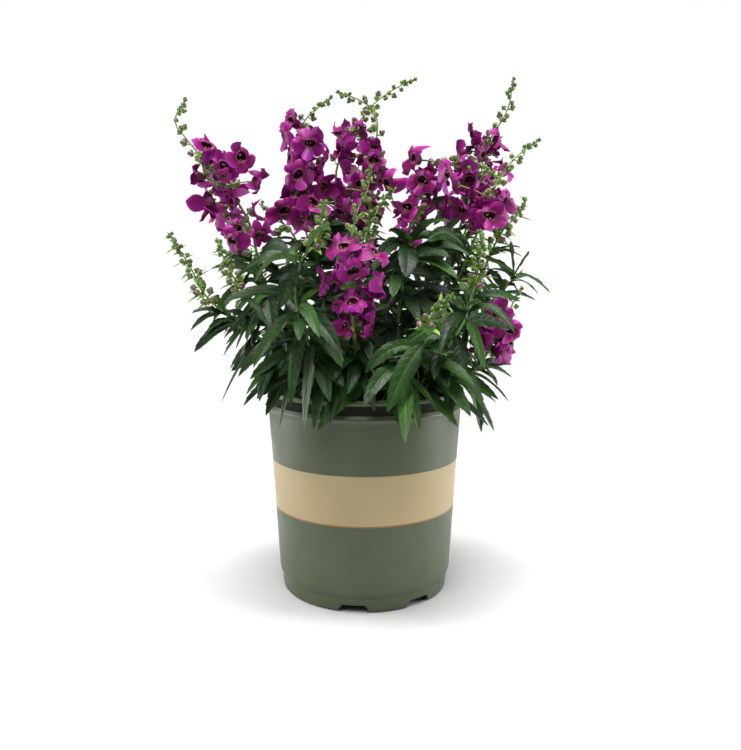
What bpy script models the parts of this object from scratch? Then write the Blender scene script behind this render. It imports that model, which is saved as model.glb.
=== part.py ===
"""Potted angelonia: a nursery pot, its soil, leafy stems and flower racemes.

Every length below is in millimetres, and MM turns it into Blender's metres.
The origin is the middle of the pot's underside, +Z is up and -Y is the front.
"""

import bisect
import itertools
import math
import random

import bmesh
import bpy
from mathutils import Vector
from mathutils.bvhtree import BVHTree

MM = 0.001
UP = Vector((0.0, 0.0, 1.0))
FRONT = Vector((0.0, -1.0, 0.0))
SEED = 23
CLEAR = 0.35
GOLDEN_ANGLE = math.radians(137.5)
# How many points of a leaf, a bloom or a bud belong to its root
ROOT_POINTS = {"leaf": 3, "bloom": 3, "bud": 3}

# The pot, a turned and moulded nursery pot
POT_HEIGHT = 171.0
LIP_RADIUS = 84.0
LIP_DROP = 4.0
COLLAR_RADIUS = 80.2
COLLAR_BOTTOM = 160.0
SHOULDER_RADIUS = 81.6
SHOULDER_HEIGHT = 156.0
BODY_FOOT_RADIUS = 73.3
FOOT_HEIGHT = 13.0
FOOT_RADIUS = 71.2
FOOT_CORNER = 2.5
WALL = 1.6
POT_SIDES = 32
NOTCH_TURN = math.radians(-7.2)
NOTCH_STEP = math.radians(45.0)
NOTCH_PLACES = (0, 1, 2, 4, 5, 6)
NOTCH_WIDTH = 24.0
NOTCH_HEIGHT = 6.5
NOTCH_DEPTH = 12.0
NOTCH_OVERCUT = 4.0
FOOT_STEP = 5.0

# The soil, with a plain hole for each stem
SOIL_EDGE = 155.0
SOIL_MIDDLE = 158.0
HOLE_BOTTOM = 117.5
STEM_BOTTOM = 118.0
HOLE_SIDES = 4
# How far a stem goes straight up from the soil before it begins to lean
STEM_RISE = 2.0

# Stems, by their radius at the soil, at a fork and at the tip
STEM_BEVEL_RESOLUTION = 0
MAIN_RADIUS = 2.3
BRANCH_RADIUS = 1.5
TIP_RADIUS = 0.6
TUBE_STEP = 28.0
TAPER_POWER = 0.8
CURVE_STEPS = 10
PROBE_STEP = 2.0
FIRST_LEAF_ON_A_FORK = 12.0
LOWEST_TIP = 152.0

# Leaves, blooms and buds
LEAF_SPACING = 25.0
LEAF_LENGTH = (46.0, 68.0)
BRANCH_LEAF = 0.6
LEAF_SLENDERNESS = 0.235
LEAF_KEEL = 0.8
LEAF_FOLD = 0.07
PETIOLE_SHARE = 0.36
# Stations along a leaf, as (share of its length, share of its width): each dip is a tooth
LEAF_STATIONS = ((0.2, 0.68), (0.42, 1.0), (0.52, 0.8), (0.74, 0.82))
SMALL_LEAF_STATIONS = ((0.24, 0.72), (0.5, 1.0), (0.76, 0.6))
SMALL_LEAF_WIDTH = 11.0
BLOOM_RADIUS = 13.0
BLOOM_REACH = 11.0
SIDE_TURN = 0.5
# Two lobes stand above the throat, two beside it and one hangs below, in degrees
FIRST_LOBE = 54.0
PEDICEL_RADIUS = 0.7
CALYX_RADIUS = 1.7
# What is tried for a bloom that would cross another: its size, its depth and its place
BLOOM_SHARES = (1.0, 0.9, 0.8, 0.72)
PUSHES = (0, -3, 4, 8, 12)
SHIFTS = ((0, 0), (-3, 2), (3, -2), (0, 4), (0, -4))
BUD_SPACING = 9.5
BUD_RADIUS = (1.3, 2.7)
BUD_REACH = (4.5, 11.0)
BUD_ROOT_RADIUS = 0.45
BUD_BULGE_AT = 0.66
# The end of a raceme that holds buds, where it has open flowers below
BUD_STRETCH = 48.0

# Where each shoot goes. "crown" is a place in the soil, and "fork" is a parent shoot with the
# height at which the shoot leaves it. "raceme" is the height at which flowers and buds begin.
# "blooms" are the middles of the open flowers on the front, as (x, z), and "back" is how many
# more open round the back.
SHOOTS = {
    "a": {
        "crown": (-30, -14), "raceme": 280, "back": 1,
        "route": [(-58, -28, 212), (-80, -40, 261), (-88, -42, 300), (-102, -42, 326),
                  (-117, -42, 344), (-136, -42, 367), (-145, -42, 381), (-136, -42, 396)],
        "blooms": [(-102, 290), (-111, 304), (-118, 317), (-104, 321), (-128, 337),
                   (-106, 341), (-92, 347), (-84, 337), (-119, 356)],
    },
    "b": {
        "fork": ("a", 198), "raceme": 238, "back": 0,
        "route": [(-87, -42, 217), (-108, -45, 233), (-126, -46, 251), (-135, -46, 270),
                  (-150, -48, 295)],
        "blooms": [],
    },
    "b2": {
        "fork": ("a", 218), "raceme": 250, "back": 0,
        "route": [(-84, -54, 238), (-96, -60, 257), (-105, -62, 274), (-110, -62, 290)],
        "blooms": [],
    },
    "c": {
        "crown": (-14, -2), "raceme": 303, "back": 1,
        "route": [(-30, -8, 220), (-41, -10, 293), (-45, -10, 330), (-48, -10, 357),
                  (-50, -10, 381), (-46, -10, 391), (-27, -10, 406)],
        "blooms": [(-50, 307), (-41, 317), (-59, 330), (-49, 340), (-33, 335), (-31, 352),
                   (-60, 358), (-43, 366), (-62, 374), (-59, 384), (-32, 371)],
    },
    "p": {
        "fork": ("c", 245), "raceme": 296, "back": 0,
        "route": [(-50, -6, 274), (-57, -4, 294), (-66, -2, 306), (-76, -2, 315),
                  (-86, -2, 323)],
        "blooms": [(-80, 310), (-64, 315)],
    },
    "d": {
        "crown": (-8, 24), "raceme": 343, "back": 1,
        "route": [(-18, 28, 250), (-25, 30, 343), (-20, 30, 367), (-8, 30, 391),
                  (8, 30, 411), (27, 30, 424), (43, 30, 431)],
        "blooms": [(3, 366), (3, 384)],
    },
    "e": {
        "crown": (4, 8), "raceme": 300, "back": 1,
        "route": [(2, 10, 230), (3, 10, 303), (6, 10, 336), (9, 10, 369), (10, 10, 395),
                  (-2, 10, 408), (-22, 10, 415)],
        "blooms": [(-7, 318), (-20, 322), (-3, 336), (-21, 338), (-16, 353), (-16, 372)],
    },
    "f": {
        "crown": (-4, -34), "raceme": 217, "back": 1,
        "route": [(-6, -52, 185), (-7, -72, 209), (-9, -83, 238), (-11, -86, 267),
                  (-9, -86, 292), (-5, -86, 310), (2, -86, 324), (4, -86, 339)],
        "blooms": [(5, 226), (6, 239), (-9, 244), (-25, 257), (8, 258), (-8, 266),
                   (7, 275), (-15, 283)],
    },
    "f2": {
        "fork": ("f", 190), "raceme": 264, "back": 0,
        "route": [(-3, -60, 230), (-2, -60, 268), (2, -60, 294), (8, -60, 309),
                  (16, -60, 322), (22, -60, 327)],
        "blooms": [],
    },
    "g": {
        "crown": (-24, -34), "raceme": 280, "back": 0,
        "route": [(-40, -62, 205), (-50, -84, 246), (-46, -88, 273), (-35, -90, 285),
                  (-27, -90, 301), (-30, -90, 315)],
        "blooms": [],
    },
    "h": {
        "crown": (18, -16), "raceme": 298, "back": 1,
        "route": [(26, -32, 225), (33, -46, 291), (38, -50, 312), (46, -50, 332),
                  (55, -50, 343), (68, -50, 348), (83, -50, 349), (100, -50, 338)],
        "blooms": [(32, 314), (43, 333), (57, 317), (17, 329), (37, 350), (57, 339)],
    },
    "i": {
        "crown": (24, 14), "raceme": 337, "back": 1,
        "route": [(54, 18, 235), (84, 20, 312), (92, 20, 346), (101, 20, 371),
                  (110, 20, 385), (121, 20, 405), (125, 20, 428)],
        "blooms": [(113, 378), (102, 363), (91, 378), (82, 364), (116, 356), (88, 348)],
    },
    "j": {
        "crown": (34, -4), "raceme": 290, "back": 1,
        "route": [(60, -12, 222), (86, -15, 285), (94, -15, 305), (101, -15, 325),
                  (109, -15, 342), (121, -15, 358), (139, -15, 372)],
        "blooms": [(88, 322), (107, 324), (98, 310), (70, 331), (77, 319)],
    },
    "k": {
        "fork": ("j", 222), "raceme": 287, "back": 0,
        "route": [(82, -12, 243), (95, -9, 261), (107, -8, 289), (115, -8, 303),
                  (125, -8, 313), (132, -8, 326)],
        "blooms": [],
    },
    "l": {
        "fork": ("j", 200), "raceme": None, "back": 0,
        "route": [(80, -18, 228), (104, -21, 245), (117, -22, 258), (128, -22, 269)],
        "blooms": [],
    },
    "m": {
        "crown": (28, -40), "raceme": 250, "back": 0,
        "route": [(52, -66, 195), (72, -86, 231), (78, -88, 253), (82, -90, 274),
                  (83, -90, 294)],
        "blooms": [],
    },
    "n": {
        "crown": (46, -20), "raceme": 196, "back": 1,
        "route": [(68, -27, 178), (89, -31, 188), (101, -33, 207), (109, -35, 225),
                  (117, -36, 241), (124, -36, 254)],
        "blooms": [(107, 204), (117, 206), (93, 213), (114, 217), (105, 232)],
    },
    "o": {
        "crown": (10, -48), "raceme": 222, "back": 0,
        "route": [(28, -76, 188), (43, -94, 214), (46, -98, 232), (53, -100, 242),
                  (61, -100, 249)],
        "blooms": [],
    },
    "q": {
        "crown": (-26, 30), "raceme": 298, "back": 4,
        "route": [(-42, 48, 225), (-50, 58, 289), (-59, 60, 325), (-62, 60, 360),
                  (-60, 60, 387)],
        "blooms": [],
    },
    "r": {
        "crown": (-2, 44), "raceme": 300, "back": 5,
        "route": [(-6, 68, 225), (-8, 82, 290), (-8, 85, 328), (-6, 85, 364), (-3, 85, 396)],
        "blooms": [],
    },
    "s": {
        "crown": (16, 34), "raceme": 282, "back": 4,
        "route": [(28, 54, 220), (38, 66, 280), (44, 70, 308), (49, 70, 340), (51, 70, 362)],
        "blooms": [],
    },
    "t": {
        "crown": (34, 34), "raceme": 305, "back": 4,
        "route": [(62, 46, 230), (87, 54, 293), (99, 55, 329), (106, 55, 364),
                  (107, 55, 388)],
        "blooms": [],
    },
    "u": {
        "crown": (-42, 12), "raceme": 288, "back": 4,
        "route": [(-72, 14, 220), (-100, 15, 282), (-116, 15, 316), (-130, 15, 346),
                  (-138, 15, 364)],
        "blooms": [],
    },
}

# The long leaves that lie outermost at the front: the shoot, the height at which the leaf
# leaves it, where its tip hangs, its width, and how high it arches for its length.
FRONT_LEAVES = [
    ("n", 176, (104, -95, 173), 13, 0.18),
    ("m", 184, (75, -108, 164), 14, 0.2),
    ("o", 216, (16, -112, 168), 15, 0.1),
    ("o", 182, (39, -102, 151), 11, 0.3),
    ("o", 176, (28, -99, 147), 12, 0.32),
    ("f", 206, (16, -104, 186), 15, 0.16),
    ("f", 184, (7, -100, 166), 13, 0.3),
    ("g", 214, (-16, -100, 198), 12, 0.2),
    ("g", 196, (-25, -102, 174), 14, 0.25),
    ("f", 196, (-12, -100, 179), 11, 0.22),
    ("g", 220, (-53, -104, 170), 10, 0.2),
    ("a", 214, (-78, -84, 171), 15, 0.2),
    ("a", 208, (-113, -48, 165), 9, 0.3),
    ("b", 226, (-132, -54, 205), 12, 0.15),
    ("b", 234, (-137, -44, 221), 8, 0.15),
    ("g", 206, (-44, -102, 148), 12, 0.35),
    ("g", 178, (-37, -98, 153), 12, 0.32),
    ("f", 176, (-25, -99, 157), 10, 0.34),
    ("a", 178, (-64, -78, 150), 9, 0.45),
    ("g", 272, (-60, -98, 240), 14, 0.1),
    ("a", 254, (-66, -82, 211), 13, 0.15),
    ("h", 288, (30, -84, 262), 16, 0.1),
    ("h", 276, (79, -64, 278), 12, 0.15),
    ("j", 280, (47, -66, 289), 12, 0.15),
    ("h", 270, (67, -86, 261), 11, 0.15),
    ("m", 226, (109, -66, 223), 12, 0.12),
    ("m", 236, (51, -92, 222), 12, 0.1),
    ("m", 220, (70, -100, 190), 12, 0.15),
    ("n", 186, (113, -60, 186), 9, 0.15),
    ("l", 262, (117, -24, 292), 6, 0.05),
    ("l", 260, (130, -34, 283), 7, 0.08),
    ("k", 280, (127, -16, 287), 6, 0.15),
    ("c", 262, (-62, -40, 232), 14, 0.2),
    ("h", 250, (12, -58, 232), 14, 0.2),
]

COLOURS = {
    "pot": (0.108, 0.135, 0.075),
    "soil": (0.035, 0.024, 0.016),
    "stem": (0.05, 0.12, 0.04),
    "raceme": (0.30, 0.018, 0.26),
}
ROUGHNESS = {"pot": 0.45, "soil": 0.95, "stem": 0.55, "raceme": 0.6}


def smooth_line(points):
    """A Catmull-Rom curve through the points, as many short steps."""
    row = [points[0] * 2 - points[1]] + points + [points[-1] * 2 - points[-2]]
    line = []
    for a, b, c, d in zip(row, row[1:], row[2:], row[3:]):
        for k in range(CURVE_STEPS):
            t = k / CURVE_STEPS
            line.append((b * 2 + (c - a) * t + (a * 2 - b * 5 + c * 4 - d) * t ** 2
                         + (b * 3 - a - c * 3 + d) * t ** 3) / 2)
    return line + [points[-1]]


class Route:
    """A line that is walked by its length."""

    def __init__(self, line):
        self.line = line
        self.walked = [0.0]
        for a, b in zip(line, line[1:]):
            self.walked.append(self.walked[-1] + (b - a).length)
        self.length = self.walked[-1]

    def at(self, along):
        along = min(max(along, 0.0), self.length)
        k = min(bisect.bisect_right(self.walked, along), len(self.line) - 1)
        step = self.walked[k] - self.walked[k - 1]
        return self.line[k - 1].lerp(self.line[k], (along - self.walked[k - 1]) / step)

    def heading(self, along):
        return (self.at(along + PROBE_STEP) - self.at(along - PROBE_STEP)).normalized()

    def reach(self, height):
        """How far along the line first comes to this height."""
        for a, b, walked in zip(self.line, self.line[1:], self.walked):
            if a.z <= height <= b.z:
                return walked + (b - a).length * (height - a.z) / (b.z - a.z)
        return self.length

    def in_steps(self, step):
        """The same route in straight steps of about this length."""
        count = math.ceil(self.length / step)
        return Route([self.at(self.length * k / count) for k in range(count + 1)])

    def knots(self, start, end):
        """The lengths along of a stretch's two ends and of every bend between them."""
        inside = [w for w in self.walked if start + 1.0 < w < end - 1.0]
        return [start] + inside + [end]


def across(axis, turn):
    """The direction square to an axis, turned about it from the front."""
    side = axis.cross(Vector((0.0, 1.0, 0.0))).normalized()
    front = side.cross(axis)
    return front * math.cos(turn) + side * math.sin(turn)


def loft(rings, tip=None):
    """Faces between rings of points: a flat cap, flat-sided root, then triangles to the tip."""
    verts = [point for ring in rings for point in ring]
    faces = [tuple(reversed(range(len(rings[0]))))]
    low = 0
    for ring, over in zip(rings, rings[1:]):
        high = low + len(ring)
        share = len(over) // len(ring)
        for k in range(len(ring)):
            a, b = low + k, low + (k + 1) % len(ring)
            fan = [high + (k * share + i) % len(over) for i in range(share + 1)]
            if low == 0 and share == 1:
                faces.append((a, b, fan[1], fan[0]))
                continue
            half = (share + 1) // 2
            for i in range(share):
                faces.append((a if i < half else b, fan[i + 1], fan[i]))
            faces.append((a, b, fan[half]))
        low = high
    if tip is not None:
        count = len(rings[-1])
        for k in range(count):
            faces.append((low + k, low + (k + 1) % count, len(verts)))
        verts.append(tip)
    return verts, faces


def leaf_shape(leaf, grow=0.0):
    """A narrow toothed leaf: two edges and a keel below, pointed at the tip."""
    base, peak, tip, width = leaf["base"], leaf["peak"], leaf["tip"], leaf["width"]
    stations = SMALL_LEAF_STATIONS if width < SMALL_LEAF_WIDTH else LEAF_STATIONS
    rings = []
    for t, share in stations:
        middle = base * (1 - t) ** 2 + peak * 2 * t * (1 - t) + tip * t ** 2
        heading = ((peak - base) * (1 - t) + (tip - peak) * t).normalized()
        side = heading.cross(leaf["over"]).normalized()
        over = side.cross(heading)
        half = width * share / 2 + grow
        lift = over * (half * 2 * LEAF_FOLD + grow)
        keel = over * -(LEAF_KEEL + grow)
        offsets = [lift - side * half, lift + side * half, keel]
        if not rings:
            rings.append([base + offset * PETIOLE_SHARE for offset in offsets])
        rings.append([middle + offset for offset in offsets])
    return loft(rings, tip + (tip - peak).normalized() * grow)


def bloom_shape(bloom, grow=0.0):
    """A five-lobed open flower on its stalk, with a hollow throat."""
    root, middle, facing = bloom["root"], bloom["middle"], bloom["facing"]
    side = UP.cross(facing).normalized()
    top = facing.cross(side)
    radius = bloom["radius"] + grow

    def ring(centre, spokes):
        points = []
        for degrees, reach in spokes:
            turn = math.radians(degrees)
            points.append(centre + (side * math.cos(turn) + top * math.sin(turn)) * reach)
        return points

    lobes = []
    for k in range(5):
        lobe = FIRST_LOBE + 72.0 * k
        lobes += [(lobe - 17.0, radius), (lobe + 17.0, radius), (lobe + 36.0, radius * 0.6)]
    mouth = [(FIRST_LOBE + 72.0 * k, radius * 0.24) for k in range(5)]
    thirds = (18.0, 138.0, 258.0)
    rings = [
        ring(root, [(turn, PEDICEL_RADIUS + grow) for turn in thirds]),
        ring(middle - facing * radius * 0.42, [(turn, CALYX_RADIUS + grow) for turn in thirds]),
        ring(middle - facing * radius * 0.08, lobes),
    ]
    verts, faces = loft(rings)
    inner = len(verts)
    verts += ring(middle + facing * radius * 0.02, mouth)
    verts.append(middle - facing * radius * 0.25)
    for k in range(5):
        a, b = inner + k, inner + (k + 1) % 5
        fan = [6 + (k * 3 + i) % 15 for i in range(4)]
        faces += [(a, fan[0], fan[1]), (a, fan[1], fan[2]), (a, fan[2], b), (b, fan[2], fan[3])]
        faces.append((a, b, inner + 5))
    return verts, faces


def bud_shape(bud, grow=0.0):
    """A teardrop bud, three-sided, on its short stalk."""
    root, tip, radius = bud["root"], bud["tip"], bud["radius"]
    axis = (tip - root).normalized()
    rings = []
    for share, thick in ((0.0, BUD_ROOT_RADIUS), (BUD_BULGE_AT, radius)):
        middle = root.lerp(tip, share)
        rings.append([middle + across(axis, math.tau / 3 * k) * (thick + grow)
                      for k in range(3)])
    return loft(rings, tip + axis * grow)


def shape_of(item, grow=0.0):
    if item["kind"] == "leaf":
        return leaf_shape(item, grow)
    if item["kind"] == "bloom":
        return bloom_shape(item, grow)
    return bud_shape(item, grow)


class Layout:
    """Where every stem, leaf, flower and bud goes, with none crossing another node's."""

    def __init__(self):
        self.routes = {}
        self.plant_of = {}
        self.racemes = {}
        self.items = []
        self.stems = []
        self.walls = self.pot_walls()
        for name, shoot in SHOOTS.items():
            self.lay_route(name, shoot)
        for name, shoot in SHOOTS.items():
            self.open_blooms(name, shoot)
        for leaf in FRONT_LEAVES:
            self.hang_leaf(*leaf)
        for name in SHOOTS:
            self.set_buds(name)
        for name in SHOOTS:
            self.grow_leaves(name)

    def pot_walls(self):
        """The pot's rim and the soil's top, as something that leaves must not enter."""
        outline = [(LIP_RADIUS, POT_HEIGHT), (LIP_RADIUS, COLLAR_BOTTOM),
                   (BODY_FOOT_RADIUS, FOOT_HEIGHT), (0.0, FOOT_HEIGHT),
                   (0.0, SOIL_MIDDLE), (COLLAR_RADIUS - WALL, SOIL_EDGE),
                   (COLLAR_RADIUS - WALL, POT_HEIGHT)]
        verts = []
        for k in range(POT_SIDES):
            turn = math.tau * k / POT_SIDES
            for radius, height in outline:
                reach = radius + (CLEAR if height > SOIL_MIDDLE and radius == LIP_RADIUS else 0.0)
                verts.append(Vector((reach * math.cos(turn), reach * math.sin(turn), height)))
        n = len(outline)
        faces = []
        for k in range(POT_SIDES):
            for i in range(n):
                a, b = k * n, (k + 1) % POT_SIDES * n
                faces.append((a + i, b + i, b + (i + 1) % n, a + (i + 1) % n))
        return BVHTree.FromPolygons(verts, faces)

    def lay_route(self, name, shoot):
        points = [Vector(point) for point in shoot["route"]]
        if "crown" in shoot:
            self.plant_of[name] = name
            points.insert(0, Vector((*shoot["crown"], SOIL_MIDDLE + STEM_RISE)))
        else:
            parent, height = shoot["fork"]
            self.plant_of[name] = self.plant_of[parent]
            trunk = self.routes[parent]
            points.insert(0, trunk.at(trunk.reach(height)))
        route = Route(smooth_line(points)).in_steps(TUBE_STEP)
        self.routes[name] = route
        start = route.length if shoot["raceme"] is None else route.reach(shoot["raceme"])
        self.racemes[name] = start
        along = 0.0
        while along <= route.length:
            node = self.stem_node(name) if along < start else self.raceme_node(name)
            self.stems.append((node, route.at(along), self.thickness(name, along)))
            along += PROBE_STEP

    def stem_node(self, name):
        return "stem_" + self.plant_of[name]

    def raceme_node(self, name):
        return "raceme_" + name

    def thickness(self, name, along):
        root = MAIN_RADIUS if "crown" in SHOOTS[name] else BRANCH_RADIUS
        return root + (TIP_RADIUS - root) * (along / self.routes[name].length) ** TAPER_POWER

    def crossings(self, item):
        """How often an item crosses its own node's, or None if it is too near another node's."""
        verts, faces = shape_of(item, CLEAR)
        low = Vector([min(v[i] for v in verts) for i in range(3)])
        high = Vector([max(v[i] for v in verts) for i in range(3)])
        tree = BVHTree.FromPolygons(verts, faces)
        root_points = ROOT_POINTS[item["kind"]]
        head = BVHTree.FromPolygons(verts, [f for f in faces if min(f) >= root_points])
        if tree.overlap(self.walls):
            return None
        for node, point, thick in self.stems:
            if node == item["node"]:
                continue
            reach = thick + CLEAR
            if all(low[i] - reach < point[i] < high[i] + reach for i in range(3)):
                if tree.find_nearest(point, reach)[0] is not None:
                    return None
        count = 0
        for other in self.items:
            if all(low[i] < other["high"][i] and other["low"][i] < high[i] for i in range(3)):
                if other["node"] != item["node"]:
                    if tree.overlap(other["tree"]):
                        return None
                else:
                    count += len(head.overlap(other["tree"])) + len(tree.overlap(other["head"]))
        item.update(low=low, high=high, tree=tree, head=head)
        return count

    def place(self, tries, most=60):
        """Keeps the way to put an item that is clear of other nodes and crosses least."""
        best, least = None, most + 1
        for item in tries:
            count = self.crossings(item)
            if count is not None and count < least:
                best, least = item, count
            if least == 0:
                break
        if best is not None:
            self.items.append(best)
        return best is not None

    def bloom(self, name, root, middle, facing, radius):
        return {"kind": "bloom", "node": self.raceme_node(name), "base": root, "root": root,
                "middle": middle, "facing": facing, "radius": radius}

    def open_blooms(self, name, shoot):
        """The open flowers: those chosen on the front, then more round the back."""
        route, start = self.routes[name], self.racemes[name]
        draw = random.Random(SEED + sum(map(ord, name)))
        for x, z in shoot["blooms"]:
            along = max(start + 3.0, min(route.reach(z - 5.0), route.length - 12.0))
            root = route.at(along)
            lean = x - root.x
            deep = math.sqrt(max(BLOOM_REACH ** 2 - lean ** 2, 9.0))
            tilt = draw.uniform(-0.25, 0.1)
            size = BLOOM_RADIUS * draw.uniform(0.94, 1.06)
            tries = []
            for share, push, (dx, dz) in itertools.product(BLOOM_SHARES, PUSHES, SHIFTS):
                middle = Vector((x + dx, root.y - deep - push, z + dz))
                facing = Vector((lean * SIDE_TURN, -deep - 3.0, 0.0)).normalized() + UP * tilt
                tries.append(self.bloom(name, root, middle, facing.normalized(), size * share))
            self.place(tries)
        count = shoot["back"]
        span = route.length - start - 42.0
        for k in range(count):
            along = start + 8.0 + span * (k + 0.5) / count
            root = route.at(along)
            tries = []
            for share in (1.0, 0.88, 0.75):
                for swing in (0.0, 0.5, -0.5, 1.0, -1.0):
                    turn = draw.uniform(0, 0.2) + k * GOLDEN_ANGLE + swing
                    if shoot["blooms"]:
                        turn = math.pi + 0.9 * math.sin(turn)
                    facing = Vector((math.sin(turn), -math.cos(turn), -0.1)).normalized()
                    middle = root + facing * BLOOM_REACH + UP * 4.0
                    tries.append(self.bloom(name, root, middle, facing, BLOOM_RADIUS * share))
            self.place(tries)

    def set_buds(self, name):
        """Buds up to the tip, smaller and closer to the stalk as they go."""
        if SHOOTS[name]["raceme"] is None:
            return
        route, start = self.routes[name], self.racemes[name]
        draw = random.Random(SEED * 3 + sum(map(ord, name)))
        first = start + 5.0
        if SHOOTS[name]["blooms"] or SHOOTS[name]["back"]:
            first = max(first, route.length - BUD_STRETCH)
        count = max(3, int((route.length - first) / BUD_SPACING))
        for k in range(count):
            share = k / (count - 1)
            along = first + (route.length - first - 1.5) * share
            root = route.at(along)
            axis = route.heading(along)
            tries = []
            for swing in (0.0, 0.5, -0.5, 1.0, -1.0):
                out = across(axis, k * GOLDEN_ANGLE + swing + draw.uniform(-0.2, 0.2))
                lean = (out + axis * 0.7).normalized()
                reach = BUD_REACH[1] + (BUD_REACH[0] - BUD_REACH[1]) * share
                radius = BUD_RADIUS[1] + (BUD_RADIUS[0] - BUD_RADIUS[1]) * share
                tries.append({"kind": "bud", "node": self.raceme_node(name), "base": root,
                              "root": root, "tip": root + lean * reach, "radius": radius})
            self.place(tries)

    def leaf(self, name, base, tip, width, arch):
        chord = tip - base
        peak = base.lerp(tip, 0.45) + UP * chord.length * arch * 2
        outward = Vector((tip.x, tip.y, 0.0)).normalized()
        over = UP * 0.6 + outward * 0.7 + FRONT * 0.3
        return {"kind": "leaf", "node": self.stem_node(name), "base": base, "peak": peak,
                "tip": tip, "width": width, "over": over.normalized()}

    def hang_leaf(self, name, height, tip, width, arch):
        """One of the chosen leaves, moved a little in depth if it has to be."""
        route = self.routes[name]
        base = route.at(route.reach(height))
        tries = []
        for rise in (0.0, 0.08, 0.16, 0.28):
            for push in (0, -4, 4, -8, -12, 8, 12):
                end = Vector(tip) + Vector((0, push, 0))
                tries.append(self.leaf(name, base, end, width, arch + rise))
        for share in (0.85, 0.7):
            for rise in (0.0, 0.1, 0.25):
                end = base.lerp(Vector(tip), share)
                tries.append(self.leaf(name, base, end, width * share, arch + rise))
        if not self.place(tries):
            print("front leaf not placed:", name, height)

    def grow_leaves(self, name):
        """Leaves in a spiral up the stem, long below and shorter to the raceme."""
        route, end = self.routes[name], self.racemes[name]
        draw = random.Random(SEED * 7 + sum(map(ord, name)))
        low = route.reach(POT_HEIGHT + 1.0) if "crown" in SHOOTS[name] else FIRST_LEAF_ON_A_FORK
        count = int((end - low) / LEAF_SPACING) + 1
        for k in range(count):
            share = (k + 0.5) / count
            along = low + (end - low - 3.0) * share
            base = route.at(along)
            full = LEAF_LENGTH[1] + (LEAF_LENGTH[0] - LEAF_LENGTH[1]) * share
            full *= draw.uniform(0.88, 1.08) * (1.0 if "crown" in SHOOTS[name] else BRANCH_LEAF)
            turn = k * GOLDEN_ANGLE + draw.uniform(-0.3, 0.3)
            droop = draw.uniform(-0.15, 0.3) + 0.25 * (1 - share)
            tries = []
            for size in (1.0, 0.85, 0.7, 0.55):
                for swing in (0.0, 0.35, -0.35, 0.7, -0.7, 1.1, -1.1, 1.6, -1.6):
                    for fall in (0.0, -0.25, 0.25):
                        out = Vector((math.sin(turn + swing), -math.cos(turn + swing), 0.0))
                        length = full * size
                        tip = base + out * length * 0.88 - UP * length * (droop + fall)
                        width = length * LEAF_SLENDERNESS
                        if tip.z > LOWEST_TIP:
                            tries.append(self.leaf(name, base, tip, width, 0.2))
            self.place(tries, most=4)


def clear_scene():
    for item in list(bpy.data.objects):
        bpy.data.objects.remove(item)


def material(name, colour, roughness):
    paint = bpy.data.materials.new(name)
    paint.use_nodes = True
    shader = paint.node_tree.nodes["Principled BSDF"]
    shader.inputs["Base Color"].default_value = (*colour, 1.0)
    shader.inputs["Roughness"].default_value = roughness
    shader.inputs["Metallic"].default_value = 0.0
    return paint


def add_object(name, mesh, collection):
    thing = bpy.data.objects.new(name, mesh)
    collection.objects.link(thing)
    return thing


def move_to(thing, collection):
    for group in list(thing.users_collection):
        group.objects.unlink(thing)
    collection.objects.link(thing)


def mesh_from(name, verts, faces):
    mesh = bpy.data.meshes.new(name)
    mesh.from_pydata([v * MM for v in verts], [], faces)
    return mesh


def turned(name, profile, sides, collection):
    """A turned solid: its profile runs from the axis, down the outside and back to the axis."""
    verts = [Vector((radius, 0.0, height)) for radius, height in profile]
    mesh = bpy.data.meshes.new(name)
    mesh.from_pydata([v * MM for v in verts], [(k, k + 1) for k in range(len(verts) - 1)], [])
    thing = add_object(name, mesh, collection)
    screw = thing.modifiers.new("turn", "SCREW")
    screw.steps = sides
    screw.render_steps = sides
    screw.use_merge_vertices = True
    screw.merge_threshold = 0.00001
    return thing


def frozen(thing, collection):
    """The object as a plain mesh, with its modifiers applied or its curve made solid."""
    is_curve = thing.type == "CURVE"
    graph = bpy.context.evaluated_depsgraph_get()
    mesh = bpy.data.meshes.new_from_object(thing.evaluated_get(graph))
    name = thing.name
    place = thing.matrix_world.copy()
    bpy.data.objects.remove(thing)
    solid = add_object(name, mesh, collection)
    solid.matrix_world = place
    if is_curve:
        weld_caps(mesh)
    return solid


def weld_caps(mesh):
    body = bmesh.new()
    body.from_mesh(mesh)
    bmesh.ops.remove_doubles(body, verts=body.verts, dist=0.00001)
    body.to_mesh(mesh)
    body.free()


def subtract(thing, cutters):
    cut = thing.modifiers.new("cut", "BOOLEAN")
    cut.operation = "DIFFERENCE"
    cut.operand_type = "COLLECTION"
    cut.collection = cutters
    for cutter in cutters.objects:
        cutter.hide_render = True
        cutter.display_type = "WIRE"


def pot_profile():
    """From the middle of the inside, up over the lip and down the outside."""
    taper = (SHOULDER_RADIUS - BODY_FOOT_RADIUS) / (SHOULDER_HEIGHT - FOOT_HEIGHT)
    inside = [(0.0, WALL), (FOOT_RADIUS - WALL, WALL), (FOOT_RADIUS - WALL, FOOT_HEIGHT),
              (COLLAR_RADIUS - WALL, COLLAR_BOTTOM), (COLLAR_RADIUS - WALL, POT_HEIGHT)]
    lip = [(LIP_RADIUS, POT_HEIGHT), (LIP_RADIUS, POT_HEIGHT - LIP_DROP)]
    outside = [(COLLAR_RADIUS, POT_HEIGHT - LIP_DROP), (COLLAR_RADIUS, COLLAR_BOTTOM),
               (SHOULDER_RADIUS, SHOULDER_HEIGHT),
               (BODY_FOOT_RADIUS + taper * FOOT_STEP, FOOT_HEIGHT + FOOT_STEP),
               (FOOT_RADIUS, FOOT_HEIGHT)]
    foot = [(FOOT_RADIUS, FOOT_CORNER), (FOOT_RADIUS - FOOT_CORNER, 0.0), (0.0, 0.0)]
    return inside + lip + outside + foot


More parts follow.
